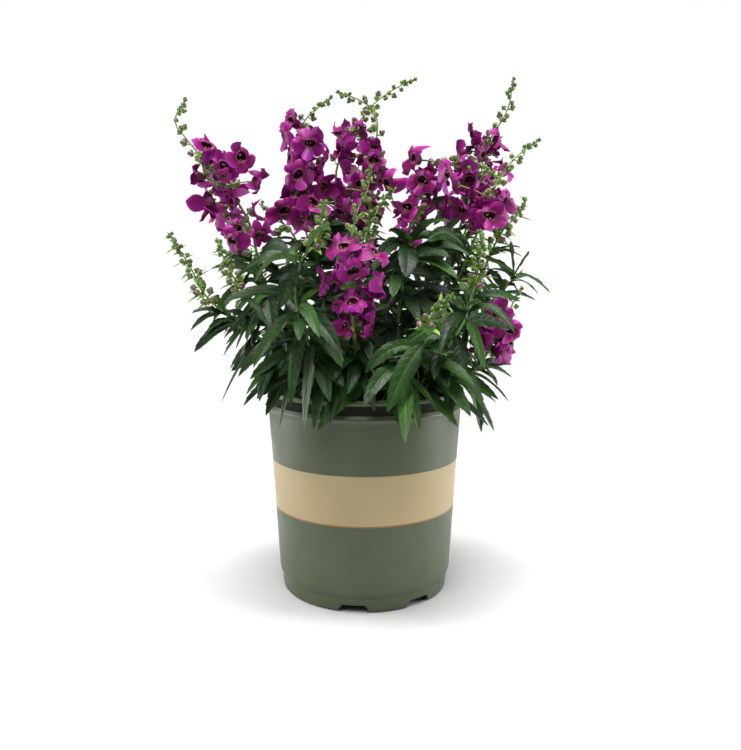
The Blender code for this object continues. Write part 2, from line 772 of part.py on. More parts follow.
def make_pot(parts, cutters):
    pot = turned("pot", pot_profile(), POT_SIDES, parts)
    for k in NOTCH_PLACES:
        turn = NOTCH_TURN + NOTCH_STEP * k
        bpy.ops.mesh.primitive_cube_add(size=1.0)
        notch = bpy.context.object
        notch.name = "notch_cutter_%d" % k
        move_to(notch, cutters)
        reach = FOOT_RADIUS + (NOTCH_OVERCUT - NOTCH_DEPTH) / 2
        depth = NOTCH_DEPTH + NOTCH_OVERCUT
        notch.scale = (NOTCH_WIDTH * MM, depth * MM, NOTCH_HEIGHT * 2 * MM)
        notch.location = (math.sin(turn) * reach * MM, -math.cos(turn) * reach * MM, 0.0)
        notch.rotation_euler.z = turn
    subtract(pot, cutters)
    pot.data.materials.append(material("pot", COLOURS["pot"], ROUGHNESS["pot"]))


def make_soil(parts, cutters, layout):
    """The soil fills the pot, and each main stem stands in its own hole."""
    inner = FOOT_RADIUS - WALL - CLEAR
    edge = inner + (COLLAR_RADIUS - FOOT_RADIUS) * (SOIL_EDGE - FOOT_HEIGHT) / (
        COLLAR_BOTTOM - FOOT_HEIGHT)
    profile = [(0.0, SOIL_MIDDLE), (edge, SOIL_EDGE), (inner, FOOT_HEIGHT),
               (inner, WALL + CLEAR), (0.0, WALL + CLEAR)]
    soil = turned("soil", profile, POT_SIDES, parts)
    for name, shoot in SHOOTS.items():
        if "crown" not in shoot:
            continue
        x, y = shoot["crown"]
        radius = (layout.thickness(name, 0.0) + CLEAR) / math.cos(math.pi / HOLE_SIDES)
        bpy.ops.mesh.primitive_cone_add(vertices=HOLE_SIDES, radius1=radius * MM, radius2=radius * MM,
                                        depth=2 * (SOIL_MIDDLE - HOLE_BOTTOM) * MM,
                                        location=(x * MM, y * MM, SOIL_MIDDLE * MM))
        hole = bpy.context.object
        hole.name = "hole_cutter_" + name
        move_to(hole, cutters)
    subtract(soil, cutters)
    soil.data.materials.append(material("soil", COLOURS["soil"], ROUGHNESS["soil"]))


def tube(name, points, radii, collection):
    """A stem: a curve with a bevel, thinner to its tip, made solid."""
    line = bpy.data.curves.new(name, "CURVE")
    line.dimensions = "3D"
    line.bevel_depth = MM
    line.bevel_resolution = STEM_BEVEL_RESOLUTION
    line.use_fill_caps = True
    spline = line.splines.new("POLY")
    spline.points.add(len(points) - 1)
    for knot, point, radius in zip(spline.points, points, radii):
        knot.co = (*(point * MM), 1.0)
        knot.radius = radius
    return frozen(add_object(name, line, collection), collection)


def stretch(layout, name, start, end):
    """Points and radii of a shoot's stalk between two lengths along it."""
    route = layout.routes[name]
    alongs = route.knots(start, end)
    points = [route.at(along) for along in alongs]
    return points, [layout.thickness(name, along) for along in alongs]


def keep_largest_body(mesh):
    """Drops loose scraps, and the inner walls of any hollow that the union sealed."""
    body = bmesh.new()
    body.from_mesh(mesh)
    left = set(body.faces)
    islands = []
    while left:
        island, front = [], [left.pop()]
        while front:
            face = front.pop()
            island.append(face)
            for edge in face.edges:
                for other in edge.link_faces:
                    if other in left:
                        left.remove(other)
                        front.append(other)
        islands.append(island)
    islands.sort(key=len)
    loose = [face for island in islands[:-1] for face in island]
    bmesh.ops.delete(body, geom=loose, context="FACES")
    bmesh.ops.triangulate(body, faces=body.faces)
    body.to_mesh(mesh)
    body.free()
    return [len(island) for island in islands[:-1]]


def fuse(name, solids, parts, paint):
    """One closed body from the stalk, which comes first, and what grows on it.

    The MANIFOLD solver is used because the exact one leaves thin leaves that cross joined
    along single edges, which isn't one closed body.
    """
    stalk = solids[0]
    if len(solids) > 1:
        repeats = bpy.data.collections.new("repeats")
        bpy.context.scene.collection.children.link(repeats)
        for solid in solids[1:]:
            parts.objects.unlink(solid)
            repeats.objects.link(solid)
        join = stalk.modifiers.new("join", "BOOLEAN")
        join.operation = "UNION"
        join.operand_type = "COLLECTION"
        join.solver = "MANIFOLD"
        join.collection = repeats
        stalk = frozen(stalk, parts)
        for solid in list(repeats.objects):
            bpy.data.objects.remove(solid)
        bpy.data.collections.remove(repeats)
    dropped = keep_largest_body(stalk.data)
    stalk.name = name
    stalk.data.materials.clear()
    stalk.data.materials.append(paint)
    print(name, len(stalk.data.polygons), "triangles, dropped", dropped)


def make_stem(layout, plant, parts, paint):
    """A leafy stem with its side shoots and leaves."""
    solids = []
    for name in SHOOTS:
        if layout.plant_of[name] != plant:
            continue
        end = layout.racemes[name]
        points, radii = stretch(layout, name, 0.0, end)
        if name == plant:
            points.insert(0, Vector((points[0].x, points[0].y, STEM_BOTTOM)))
            radii.insert(0, radii[0])
        solids.append(tube("stalk_" + name, points, radii, parts))
    node = "stem_" + plant
    for k, item in enumerate(layout.items):
        if item["node"] == node:
            mesh = mesh_from("leaf_%d" % k, *shape_of(item))
            solids.append(add_object("leaf_%d" % k, mesh, parts))
    fuse(node, solids, parts, paint)


def make_raceme(layout, name, parts, paint):
    """A flower spike: its stalk, open flowers and buds."""
    start, end = layout.racemes[name] + CLEAR, layout.routes[name].length
    points, radii = stretch(layout, name, start, end)
    solids = [tube("stalk_" + name, points, radii, parts)]
    node = "raceme_" + name
    for k, item in enumerate(layout.items):
        if item["node"] == node:
            mesh = mesh_from("%s_%d" % (item["kind"], k), *shape_of(item))
            solids.append(add_object("%s_%d" % (item["kind"], k), mesh, parts))
    fuse(node, solids, parts, paint)


def main():
    clear_scene()
    parts = bpy.data.collections.new("potted_angelonia")
    notches = bpy.data.collections.new("notch_cutters")
    holes = bpy.data.collections.new("hole_cutters")
    for group in (parts, notches, holes):
        bpy.context.scene.collection.children.link(group)
    layout = Layout()
    make_pot(parts, notches)
    make_soil(parts, holes, layout)
    stem_paint = material("stem", COLOURS["stem"], ROUGHNESS["stem"])
    raceme_paint = material("raceme", COLOURS["raceme"], ROUGHNESS["raceme"])
    for name, shoot in SHOOTS.items():
        if "crown" in shoot:
            make_stem(layout, name, parts, stem_paint)
        if shoot["raceme"] is not None:
            make_raceme(layout, name, parts, raceme_paint)


main()
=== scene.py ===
# %% [markdown]
# # A potted angelonia
# The object is a young, bushy angelonia in a round nursery pot. The solid model of it is already
# there: a pot, its soil, seventeen leafy stems and twenty-two racemes, which are spikes of flowers
# and buds. This lesson dresses that model. Each coarse stem and raceme is replaced by fine leaves
# with toothed margins, flowers with a pouch and five lobes, and round buds, all of which stay
# where the solids have them, because both are laid out by the same rules.
#
# We begin with the frame. Every length in the tables below is in millimetres, and MM turns it
# into Blender's metres.

# %% Load the frame
import bisect
import itertools
import math
import random

import bmesh
import bpy
import numpy as np
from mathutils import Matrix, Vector, noise
from mathutils.bvhtree import BVHTree


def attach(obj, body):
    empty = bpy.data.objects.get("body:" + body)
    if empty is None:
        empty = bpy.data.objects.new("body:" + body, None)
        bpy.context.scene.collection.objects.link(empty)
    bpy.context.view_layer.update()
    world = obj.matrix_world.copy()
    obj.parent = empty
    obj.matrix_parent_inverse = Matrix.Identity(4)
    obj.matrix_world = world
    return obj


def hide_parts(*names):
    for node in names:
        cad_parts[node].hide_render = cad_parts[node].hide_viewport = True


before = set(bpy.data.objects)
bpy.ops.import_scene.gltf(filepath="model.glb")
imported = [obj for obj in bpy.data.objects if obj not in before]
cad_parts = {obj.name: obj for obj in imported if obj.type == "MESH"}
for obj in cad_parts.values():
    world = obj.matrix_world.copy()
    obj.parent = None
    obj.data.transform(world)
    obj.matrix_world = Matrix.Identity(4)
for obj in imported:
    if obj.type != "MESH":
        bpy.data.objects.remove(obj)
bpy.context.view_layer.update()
MM = 0.001
UP = Vector((0.0, 0.0, 1.0))


def add_object(name, data):
    """Puts a camera, a light or a mesh into the scene."""
    made = bpy.data.objects.new(name, data)
    bpy.context.scene.collection.objects.link(made)
    return made


print("nodes in the frame:", len(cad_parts))

# %% [markdown]
# ## The camera
# A photograph of a round pot says a lot about its camera: the rim, the band and the foot are
# circles, so how flat each looks gives the height and the tilt of the camera, and how the sides
# taper gives its distance. The camera stands 608 mm in front of the pot's axis, a little above
# half the plant's height, and looks slightly down.

# %% Set up the camera
FOCAL_PIXELS = 717
FRAME_PIXELS = 750
AXIS_SHIFT_PIXELS = 5.8
CAMERA_PLACE = (0.0, -0.608, 0.2545)
TILT_DEGREES = 6.94

lens = bpy.data.cameras.new("photo_camera")
lens.lens = FOCAL_PIXELS / FRAME_PIXELS * lens.sensor_width
lens.shift_x = AXIS_SHIFT_PIXELS / FRAME_PIXELS
lens.clip_start = 0.01
camera = add_object("photo_camera", lens)
camera.location = CAMERA_PLACE
camera.rotation_euler = (math.radians(90.0 - TILT_DEGREES), 0.0, 0.0)
bpy.context.scene.camera = camera
print("lens %.1f mm" % lens.lens)

# %% [markdown]
# ## The light
# The plant was lit for a catalogue, against pure white. A white wall that gave as much light as
# it shows would flatten the leaves, so the world is white to look at and dimmer as a light. Two
# suns stand high on either side, so a short soft shadow lies on each side of the foot. A third
# comes from above the camera, and leaves the top of the pot in the shade of the leaves. A wide
# sun has soft-edged shadows, as a large soft box does. Two area lamps at the sides brighten the
# pot towards its edges.

# %% Light the studio
WALL_SEEN = 1.0
WALL_LIGHT = 0.11

bpy.context.scene.view_settings.view_transform = "Standard"
world = bpy.data.worlds.new("white_room")
world.use_nodes = True
room = world.node_tree
backdrop = room.nodes["Background"]
backdrop.inputs["Color"].default_value = (1.0, 1.0, 1.0, 1.0)
seen = room.nodes.new("ShaderNodeMapRange")
seen.inputs["To Min"].default_value = WALL_LIGHT
seen.inputs["To Max"].default_value = WALL_SEEN
room.links.new(room.nodes.new("ShaderNodeLightPath").outputs["Is Camera Ray"],
               seen.inputs["Value"])
room.links.new(seen.outputs["Result"], backdrop.inputs["Strength"])
bpy.context.scene.world = world

# Each sun's direction, how wide it is in degrees, and its strength
SUNS = {
    "left_sun": ((-0.14, -0.06, 1.0), 22.0, 2.3),
    "right_sun": ((0.14, -0.06, 1.0), 22.0, 2.3),
    "front_sun": ((-0.1, -0.5, 1.0), 34.0, 1.7),
}
# Each lamp's place, its size and its power
LAMPS = {
    "left_lamp": ((-1.1, 0.15, 0.28), 0.6, 10.0),
    "right_lamp": ((1.1, 0.1, 0.28), 0.6, 11.5),
}
LIT_PLACE = Vector((0.0, 0.0, 0.2))


def hang_light(name, kind, place):
    """A light that shines at the middle of the plant."""
    light = bpy.data.lights.new(name, kind)
    holder = add_object(name, light)
    holder.location = place
    aim = LIT_PLACE - Vector(place)
    holder.rotation_euler = aim.to_track_quat("-Z", "Y").to_euler()
    return light


for name, (place, width, strength) in SUNS.items():
    sun = hang_light(name, "SUN", place)
    sun.angle = math.radians(width)
    sun.energy = strength
for name, (place, size, power) in LAMPS.items():
    lamp = hang_light(name, "AREA", place)
    lamp.size = size
    lamp.energy = power
print("lights:", ", ".join([*SUNS, *LAMPS]))

# %% [markdown]
# ## The floor
# The pot stands on a sheet of plain white paper. It throws light up at the plant, and because the
# sheet ends, the pot's top and the leaves get less of it than the foot does. One quad is enough.
# Every material starts in the same way, so that is a function, and the paper's is the first to
# use it.

# %% Lay the floor
FLOOR_HALF = 0.6
PAPER_GREY = (0.6, 0.6, 0.6, 1.0)
PAPER_ROUGHNESS = 0.9
PAPER_SHINE = 0.1


def new_paint(name, roughness, shine=0.5):
    """A material, with its node tree and its shader."""
    paint = bpy.data.materials.new(name)
    paint.use_nodes = True
    shader = paint.node_tree.nodes["Principled BSDF"]
    shader.inputs["Roughness"].default_value = roughness
    shader.inputs["Specular IOR Level"].default_value = shine
    return paint, paint.node_tree, shader


floor_mesh = bpy.data.meshes.new("paper_floor")
floor_mesh.from_pydata([(x * FLOOR_HALF, y * FLOOR_HALF, 0.0)
                        for x, y in ((-1, -1), (1, -1), (1, 1), (-1, 1))], [], [(0, 1, 2, 3)])
floor = add_object("paper_floor", floor_mesh)
paper, tree, shader = new_paint("white_paper", PAPER_ROUGHNESS, PAPER_SHINE)
shader.inputs["Base Color"].default_value = PAPER_GREY
floor_mesh.materials.append(paper)
print("floor laid")

# %% [markdown]
# ## Where everything grows
# A plant looks natural when its parts follow rules that vary a little: leaves leave the stem at
# about 137.5 degrees from one to the next, get shorter towards the flowers, and droop more when
# they are long. The shoots' routes and the flowers that the photograph shows are listed, and the
# rest is drawn from seeded random numbers, so each run gives the same plant.
#
# These tables and rules are the same as in the part's source. That is why each fine leaf, flower
# and bud comes out where its solid is.

# %% The shoots and the long front leaves
SEED = 23
CLEAR = 0.35
GOLDEN_ANGLE = math.radians(137.5)

# Where each shoot goes. "crown" is a place in the soil, and "fork" is a parent shoot with the
# height at which the shoot leaves it. "raceme" is the height at which flowers and buds begin.
# "blooms" are the middles of the open flowers on the front, as (x, z), and "back" is how many
# more open round the back.
SHOOTS = {
    "a": {"crown": (-30, -14), "raceme": 280, "back": 1,
          "route": [(-58, -28, 212), (-80, -40, 261), (-88, -42, 300), (-102, -42, 326),
                    (-117, -42, 344), (-136, -42, 367), (-145, -42, 381), (-136, -42, 396)],
          "blooms": [(-102, 290), (-111, 304), (-118, 317), (-104, 321), (-128, 337), (-106, 341),
                     (-92, 347), (-84, 337), (-119, 356)]},
    "b": {"fork": ("a", 198), "raceme": 238, "back": 0, "blooms": [],
          "route": [(-87, -42, 217), (-108, -45, 233), (-126, -46, 251), (-135, -46, 270),
                    (-150, -48, 295)]},
    "b2": {"fork": ("a", 218), "raceme": 250, "back": 0, "blooms": [],
           "route": [(-84, -54, 238), (-96, -60, 257), (-105, -62, 274), (-110, -62, 290)]},
    "c": {"crown": (-14, -2), "raceme": 303, "back": 1,
          "route": [(-30, -8, 220), (-41, -10, 293), (-45, -10, 330), (-48, -10, 357),
                    (-50, -10, 381), (-46, -10, 391), (-27, -10, 406)],
          "blooms": [(-50, 307), (-41, 317), (-59, 330), (-49, 340), (-33, 335), (-31, 352),
                     (-60, 358), (-43, 366), (-62, 374), (-59, 384), (-32, 371)]},
    "p": {"fork": ("c", 245), "raceme": 296, "back": 0,
          "route": [(-50, -6, 274), (-57, -4, 294), (-66, -2, 306), (-76, -2, 315),
                    (-86, -2, 323)],
          "blooms": [(-80, 310), (-64, 315)]},
    "d": {"crown": (-8, 24), "raceme": 343, "back": 1,
          "route": [(-18, 28, 250), (-25, 30, 343), (-20, 30, 367), (-8, 30, 391), (8, 30, 411),
                    (27, 30, 424), (43, 30, 431)],
          "blooms": [(3, 366), (3, 384)]},
    "e": {"crown": (4, 8), "raceme": 300, "back": 1,
          "route": [(2, 10, 230), (3, 10, 303), (6, 10, 336), (9, 10, 369), (10, 10, 395),
                    (-2, 10, 408), (-22, 10, 415)],
          "blooms": [(-7, 318), (-20, 322), (-3, 336), (-21, 338), (-16, 353), (-16, 372)]},
    "f": {"crown": (-4, -34), "raceme": 217, "back": 1,
          "route": [(-6, -52, 185), (-7, -72, 209), (-9, -83, 238), (-11, -86, 267),
                    (-9, -86, 292), (-5, -86, 310), (2, -86, 324), (4, -86, 339)],
          "blooms": [(5, 226), (6, 239), (-9, 244), (-25, 257), (8, 258), (-8, 266), (7, 275),
                     (-15, 283)]},
    "f2": {"fork": ("f", 190), "raceme": 264, "back": 0, "blooms": [],
           "route": [(-3, -60, 230), (-2, -60, 268), (2, -60, 294), (8, -60, 309), (16, -60, 322),
                     (22, -60, 327)]},
    "g": {"crown": (-24, -34), "raceme": 280, "back": 0, "blooms": [],
          "route": [(-40, -62, 205), (-50, -84, 246), (-46, -88, 273), (-35, -90, 285),
                    (-27, -90, 301), (-30, -90, 315)]},
    "h": {"crown": (18, -16), "raceme": 298, "back": 1,
          "route": [(26, -32, 225), (33, -46, 291), (38, -50, 312), (46, -50, 332),
                    (55, -50, 343), (68, -50, 348), (83, -50, 349), (100, -50, 338)],
          "blooms": [(32, 314), (43, 333), (57, 317), (17, 329), (37, 350), (57, 339)]},
    "i": {"crown": (24, 14), "raceme": 337, "back": 1,
          "route": [(54, 18, 235), (84, 20, 312), (92, 20, 346), (101, 20, 371), (110, 20, 385),
                    (121, 20, 405), (125, 20, 428)],
          "blooms": [(113, 378), (102, 363), (91, 378), (82, 364), (116, 356), (88, 348)]},
    "j": {"crown": (34, -4), "raceme": 290, "back": 1,
          "route": [(60, -12, 222), (86, -15, 285), (94, -15, 305), (101, -15, 325),
                    (109, -15, 342), (121, -15, 358), (139, -15, 372)],
          "blooms": [(88, 322), (107, 324), (98, 310), (70, 331), (77, 319)]},
    "k": {"fork": ("j", 222), "raceme": 287, "back": 0, "blooms": [],
          "route": [(82, -12, 243), (95, -9, 261), (107, -8, 289), (115, -8, 303), (125, -8, 313),
                    (132, -8, 326)]},
    "l": {"fork": ("j", 200), "raceme": None, "back": 0, "blooms": [],
          "route": [(80, -18, 228), (104, -21, 245), (117, -22, 258), (128, -22, 269)]},
    "m": {"crown": (28, -40), "raceme": 250, "back": 0, "blooms": [],
          "route": [(52, -66, 195), (72, -86, 231), (78, -88, 253), (82, -90, 274),
                    (83, -90, 294)]},
    "n": {"crown": (46, -20), "raceme": 196, "back": 1,
          "route": [(68, -27, 178), (89, -31, 188), (101, -33, 207), (109, -35, 225),
                    (117, -36, 241), (124, -36, 254)],
          "blooms": [(107, 204), (117, 206), (93, 213), (114, 217), (105, 232)]},
    "o": {"crown": (10, -48), "raceme": 222, "back": 0, "blooms": [],
          "route": [(28, -76, 188), (43, -94, 214), (46, -98, 232), (53, -100, 242),
                    (61, -100, 249)]},
    "q": {"crown": (-26, 30), "raceme": 298, "back": 4, "blooms": [],
          "route": [(-42, 48, 225), (-50, 58, 289), (-59, 60, 325), (-62, 60, 360),
                    (-60, 60, 387)]},
    "r": {"crown": (-2, 44), "raceme": 300, "back": 5, "blooms": [],
          "route": [(-6, 68, 225), (-8, 82, 290), (-8, 85, 328), (-6, 85, 364), (-3, 85, 396)]},
    "s": {"crown": (16, 34), "raceme": 282, "back": 4, "blooms": [],
          "route": [(28, 54, 220), (38, 66, 280), (44, 70, 308), (49, 70, 340), (51, 70, 362)]},
    "t": {"crown": (34, 34), "raceme": 305, "back": 4, "blooms": [],
          "route": [(62, 46, 230), (87, 54, 293), (99, 55, 329), (106, 55, 364), (107, 55, 388)]},
    "u": {"crown": (-42, 12), "raceme": 288, "back": 4, "blooms": [],
          "route": [(-72, 14, 220), (-100, 15, 282), (-116, 15, 316), (-130, 15, 346),
                    (-138, 15, 364)]},
}

# The long leaves that lie outermost at the front: the shoot, the height at which the leaf
# leaves it, where its tip hangs, its width, and how high it arches for its length.
FRONT_LEAVES = [
    ("n", 176, (104, -95, 173), 13, 0.18),
    ("m", 184, (75, -108, 164), 14, 0.2),
    ("o", 216, (16, -112, 168), 15, 0.1),
    ("o", 182, (39, -102, 151), 11, 0.3),
    ("o", 176, (28, -99, 147), 12, 0.32),
    ("f", 206, (16, -104, 186), 15, 0.16),
    ("f", 184, (7, -100, 166), 13, 0.3),
    ("g", 214, (-16, -100, 198), 12, 0.2),
    ("g", 196, (-25, -102, 174), 14, 0.25),
    ("f", 196, (-12, -100, 179), 11, 0.22),
    ("g", 220, (-53, -104, 170), 10, 0.2),
    ("a", 214, (-78, -84, 171), 15, 0.2),
    ("a", 208, (-113, -48, 165), 9, 0.3),
    ("b", 226, (-132, -54, 205), 12, 0.15),
    ("b", 234, (-137, -44, 221), 8, 0.15),
    ("g", 206, (-44, -102, 148), 12, 0.35),
    ("g", 178, (-37, -98, 153), 12, 0.32),
    ("f", 176, (-25, -99, 157), 10, 0.34),
    ("a", 178, (-64, -78, 150), 9, 0.45),
    ("g", 272, (-60, -98, 240), 14, 0.1),
    ("a", 254, (-66, -82, 211), 13, 0.15),
    ("h", 288, (30, -84, 262), 16, 0.1),
    ("h", 276, (79, -64, 278), 12, 0.15),
    ("j", 280, (47, -66, 289), 12, 0.15),
    ("h", 270, (67, -86, 261), 11, 0.15),
    ("m", 226, (109, -66, 223), 12, 0.12),
    ("m", 236, (51, -92, 222), 12, 0.1),
    ("m", 220, (70, -100, 190), 12, 0.15),
    ("n", 186, (113, -60, 186), 9, 0.15),
    ("l", 262, (117, -24, 292), 6, 0.05),
    ("l", 260, (130, -34, 283), 7, 0.08),
    ("k", 280, (127, -16, 287), 6, 0.15),
    ("c", 262, (-62, -40, 232), 14, 0.2),
    ("h", 250, (12, -58, 232), 14, 0.2),
]

RACEMES = [name for name, shoot in SHOOTS.items() if shoot["raceme"] is not None]


def seeded(rule, name=""):
    """Random numbers for one rule and one name, the same on each run."""
    return random.Random(SEED * rule + sum(map(ord, name)))


print("shoots:", len(SHOOTS), "long front leaves:", len(FRONT_LEAVES))

# %% [markdown]
# ## Routes
# A stem is a smooth curve through the few points that were read from the photograph. A
# Catmull-Rom curve suits this, because it passes through every point that it is given. The solids
# use the same curves in coarser steps.

# %% Walk along a smooth curve
CURVE_STEPS = 10
PROBE_STEP = 2.0


def smooth_line(points):
    """A Catmull-Rom curve through the points, as many short steps."""
    row = [points[0] * 2 - points[1]] + points + [points[-1] * 2 - points[-2]]
    line = []
    for a, b, c, d in zip(row, row[1:], row[2:], row[3:]):
        for k in range(CURVE_STEPS):
            t = k / CURVE_STEPS
            line.append((b * 2 + (c - a) * t + (a * 2 - b * 5 + c * 4 - d) * t ** 2
                         + (b * 3 - a - c * 3 + d) * t ** 3) / 2)
    return line + [points[-1]]


def bent(a, b, c, t):
    """A line from a to c that leans towards b: where it is at a share t, and where it heads."""
    return a * (1 - t) ** 2 + b * 2 * t * (1 - t) + c * t ** 2, (b - a) * (1 - t) + (c - b) * t


class Route:
    """A line that is walked by its length."""

    def __init__(self, line):
        self.line = line
        self.walked = [0.0]
        for a, b in zip(line, line[1:]):
            self.walked.append(self.walked[-1] + (b - a).length)
        self.length = self.walked[-1]

    def at(self, along):
        along = min(max(along, 0.0), self.length)
        k = min(bisect.bisect_right(self.walked, along), len(self.line) - 1)
        step = self.walked[k] - self.walked[k - 1]
        return self.line[k - 1].lerp(self.line[k], (along - self.walked[k - 1]) / step)

    def heading(self, along):
        return (self.at(along + PROBE_STEP) - self.at(along - PROBE_STEP)).normalized()

    def reach(self, height):
        """How far along the line first comes to this height."""
        for a, b, walked in zip(self.line, self.line[1:], self.walked):
            if a.z <= height <= b.z:
                return walked + (b - a).length * (height - a.z) / (b.z - a.z)
        return self.length

    def in_steps(self, step):
        """The same route in straight steps of about this length."""
        count = math.ceil(self.length / step)
        return Route([self.at(self.length * k / count) for k in range(count + 1)])

    def nearest(self, point):
        """How far along the line its nearest place to a point is."""
        best, least = 0.0, None
        for a, b, walked in zip(self.line, self.line[1:], self.walked):
            run = b - a
            share = min(max((point - a).dot(run) / run.length_squared, 0.0), 1.0)
            gap = (a + run * share - point).length_squared
            if least is None or gap < least:
                best, least = walked + run.length * share, gap
        return best


# %% Lay the shoots' routes
SOIL_MIDDLE = 158.0
SOIL_EDGE = 155.0
STEM_RISE = 2.0
TUBE_STEP = 28.0
MAIN_RADIUS = 2.3
BRANCH_RADIUS = 1.5
TIP_RADIUS = 0.6
TAPER_POWER = 0.8

routes, fine_routes, plant_of, raceme_start, stem_points = {}, {}, {}, {}, []


def thickness(name, along):
    root = MAIN_RADIUS if "crown" in SHOOTS[name] else BRANCH_RADIUS
    return root + (TIP_RADIUS - root) * (along / routes[name].length) ** TAPER_POWER


def lay_route(name, shoot):
    points = [Vector(point) for point in shoot["route"]]
    if "crown" in shoot:
        plant_of[name] = name
        points.insert(0, Vector((*shoot["crown"], SOIL_MIDDLE + STEM_RISE)))
    else:
        parent, height = shoot["fork"]
        plant_of[name] = plant_of[parent]
        points.insert(0, routes[parent].at(routes[parent].reach(height)))
    fine_routes[name] = Route(smooth_line(points))
    route = fine_routes[name].in_steps(TUBE_STEP)
    routes[name] = route
    start = route.length if shoot["raceme"] is None else route.reach(shoot["raceme"])
    raceme_start[name] = start
    along = 0.0
    while along <= route.length:
        node = "stem_" + plant_of[name] if along < start else "raceme_" + name
        stem_points.append((node, route.at(along), thickness(name, along)))
        along += PROBE_STEP


for name, shoot in SHOOTS.items():
    lay_route(name, shoot)
print("routes:", len(routes), "points that leaves keep clear of:", len(stem_points))

# %% [markdown]
# ## Plain shapes for trying places
# Before a leaf or a flower is drawn finely, a plain version of it is tried in its place. It has
# few faces, so a tree of its faces can tell quickly whether it would cross another stem's leaf,
# the pot's rim or a stalk. These plain shapes are the ones that the solid model is made of.

# %% Plain leaf, flower and bud
LEAF_KEEL = 0.8
LEAF_FOLD = 0.07
PETIOLE_SHARE = 0.36
LEAF_STATIONS = ((0.2, 0.68), (0.42, 1.0), (0.52, 0.8), (0.74, 0.82))
SMALL_LEAF_STATIONS = ((0.24, 0.72), (0.5, 1.0), (0.76, 0.6))
SMALL_LEAF_WIDTH = 11.0
# Where a flower's first lobe points, the turn from one to the next, and half a lobe's spread
FIRST_LOBE = 54.0
LOBE_TURN = 72.0
LOBE_HALF = 17.0
THIRDS = (18.0, 138.0, 258.0)
# How far out the clefts and the mouth lie, and how far along its axis each ring lies, in radii
CLEFT_REACH = 0.6
MOUTH_REACH = 0.24
CALYX_AT, LOBES_AT, MOUTH_AT, THROAT_AT = 0.42, 0.08, 0.02, 0.25
PEDICEL_RADIUS = 0.7
CALYX_RADIUS = 1.7
BUD_ROOT_RADIUS = 0.45
BUD_BULGE_AT = 0.66


def across(axis, turn):
    """The direction square to an axis, turned about it from the front."""
    side = axis.cross(Vector((0.0, 1.0, 0.0))).normalized()
    front = side.cross(axis)
    return front * math.cos(turn) + side * math.sin(turn)


def level(turn, rise=0.0):
    """A level direction, turned about the upright from the front, with some rise."""
    return Vector((math.sin(turn), -math.cos(turn), rise))


def loft(rings, tip=None):
    """Faces between rings of points: a flat cap, flat-sided root, then triangles to the tip."""
    verts = [point for ring in rings for point in ring]
    faces = [tuple(reversed(range(len(rings[0]))))]
    low = 0
    for ring, over in zip(rings, rings[1:]):
        high = low + len(ring)
        share = len(over) // len(ring)
        for k in range(len(ring)):
            a, b = low + k, low + (k + 1) % len(ring)
            fan = [high + (k * share + i) % len(over) for i in range(share + 1)]
            if low == 0 and share == 1:
                faces.append((a, b, fan[1], fan[0]))
                continue
            half = (share + 1) // 2
            for i in range(share):
                faces.append((a if i < half else b, fan[i + 1], fan[i]))
            faces.append((a, b, fan[half]))
        low = high
    if tip is not None:
        count = len(rings[-1])
        for k in range(count):
            faces.append((low + k, low + (k + 1) % count, len(verts)))
        verts.append(tip)
    return verts, faces


def plain_leaf(leaf, grow):
    """A folded blade with a keel, thicker all round by what it grows."""
    base, peak, tip, width = leaf["base"], leaf["peak"], leaf["tip"], leaf["width"]
    stations = SMALL_LEAF_STATIONS if width < SMALL_LEAF_WIDTH else LEAF_STATIONS
    rings = []
    for t, share in stations:
        middle, heading = bent(base, peak, tip, t)
        heading = heading.normalized()
        side = heading.cross(leaf["over"]).normalized()
        over = side.cross(heading)
        half = width * share / 2 + grow
        lift = over * (half * 2 * LEAF_FOLD + grow)
        keel = over * -(LEAF_KEEL + grow)
        offsets = [lift - side * half, lift + side * half, keel]
        if not rings:
            rings.append([base + offset * PETIOLE_SHARE for offset in offsets])
        rings.append([middle + offset for offset in offsets])
    return loft(rings, tip + (tip - peak).normalized() * grow)


def plain_bloom(bloom, grow):
    """A pedicel that opens into five blunt lobes round a hollow mouth."""
    root, middle, facing = bloom["root"], bloom["middle"], bloom["facing"]
    side = UP.cross(facing).normalized()
    top = facing.cross(side)
    radius = bloom["radius"] + grow

    def ring(centre, spokes):
        points = []
        for degrees, reach in spokes:
            turn = math.radians(degrees)
            points.append(centre + (side * math.cos(turn) + top * math.sin(turn)) * reach)
        return points

    turns = [FIRST_LOBE + LOBE_TURN * k for k in range(5)]
    lobes = []
    for turn in turns:
        lobes += [(turn - LOBE_HALF, radius), (turn + LOBE_HALF, radius),
                  (turn + LOBE_TURN / 2, radius * CLEFT_REACH)]
    calyx = middle - facing * radius * CALYX_AT
    verts, faces = loft([ring(root, [(turn, PEDICEL_RADIUS + grow) for turn in THIRDS]),
                         ring(calyx, [(turn, CALYX_RADIUS + grow) for turn in THIRDS]),
                         ring(middle - facing * radius * LOBES_AT, lobes)])
    inner = len(verts)
    outer = inner - len(lobes)
    mouth = [(turn, radius * MOUTH_REACH) for turn in turns]
    verts += ring(middle + facing * radius * MOUTH_AT, mouth)
    verts.append(middle - facing * radius * THROAT_AT)
    for k in range(5):
        a, b = inner + k, inner + (k + 1) % 5
        fan = [outer + (k * 3 + i) % len(lobes) for i in range(4)]
        faces += [(a, fan[0], fan[1]), (a, fan[1], fan[2]), (a, fan[2], b), (b, fan[2], fan[3])]
        faces.append((a, b, inner + 5))
    return verts, faces


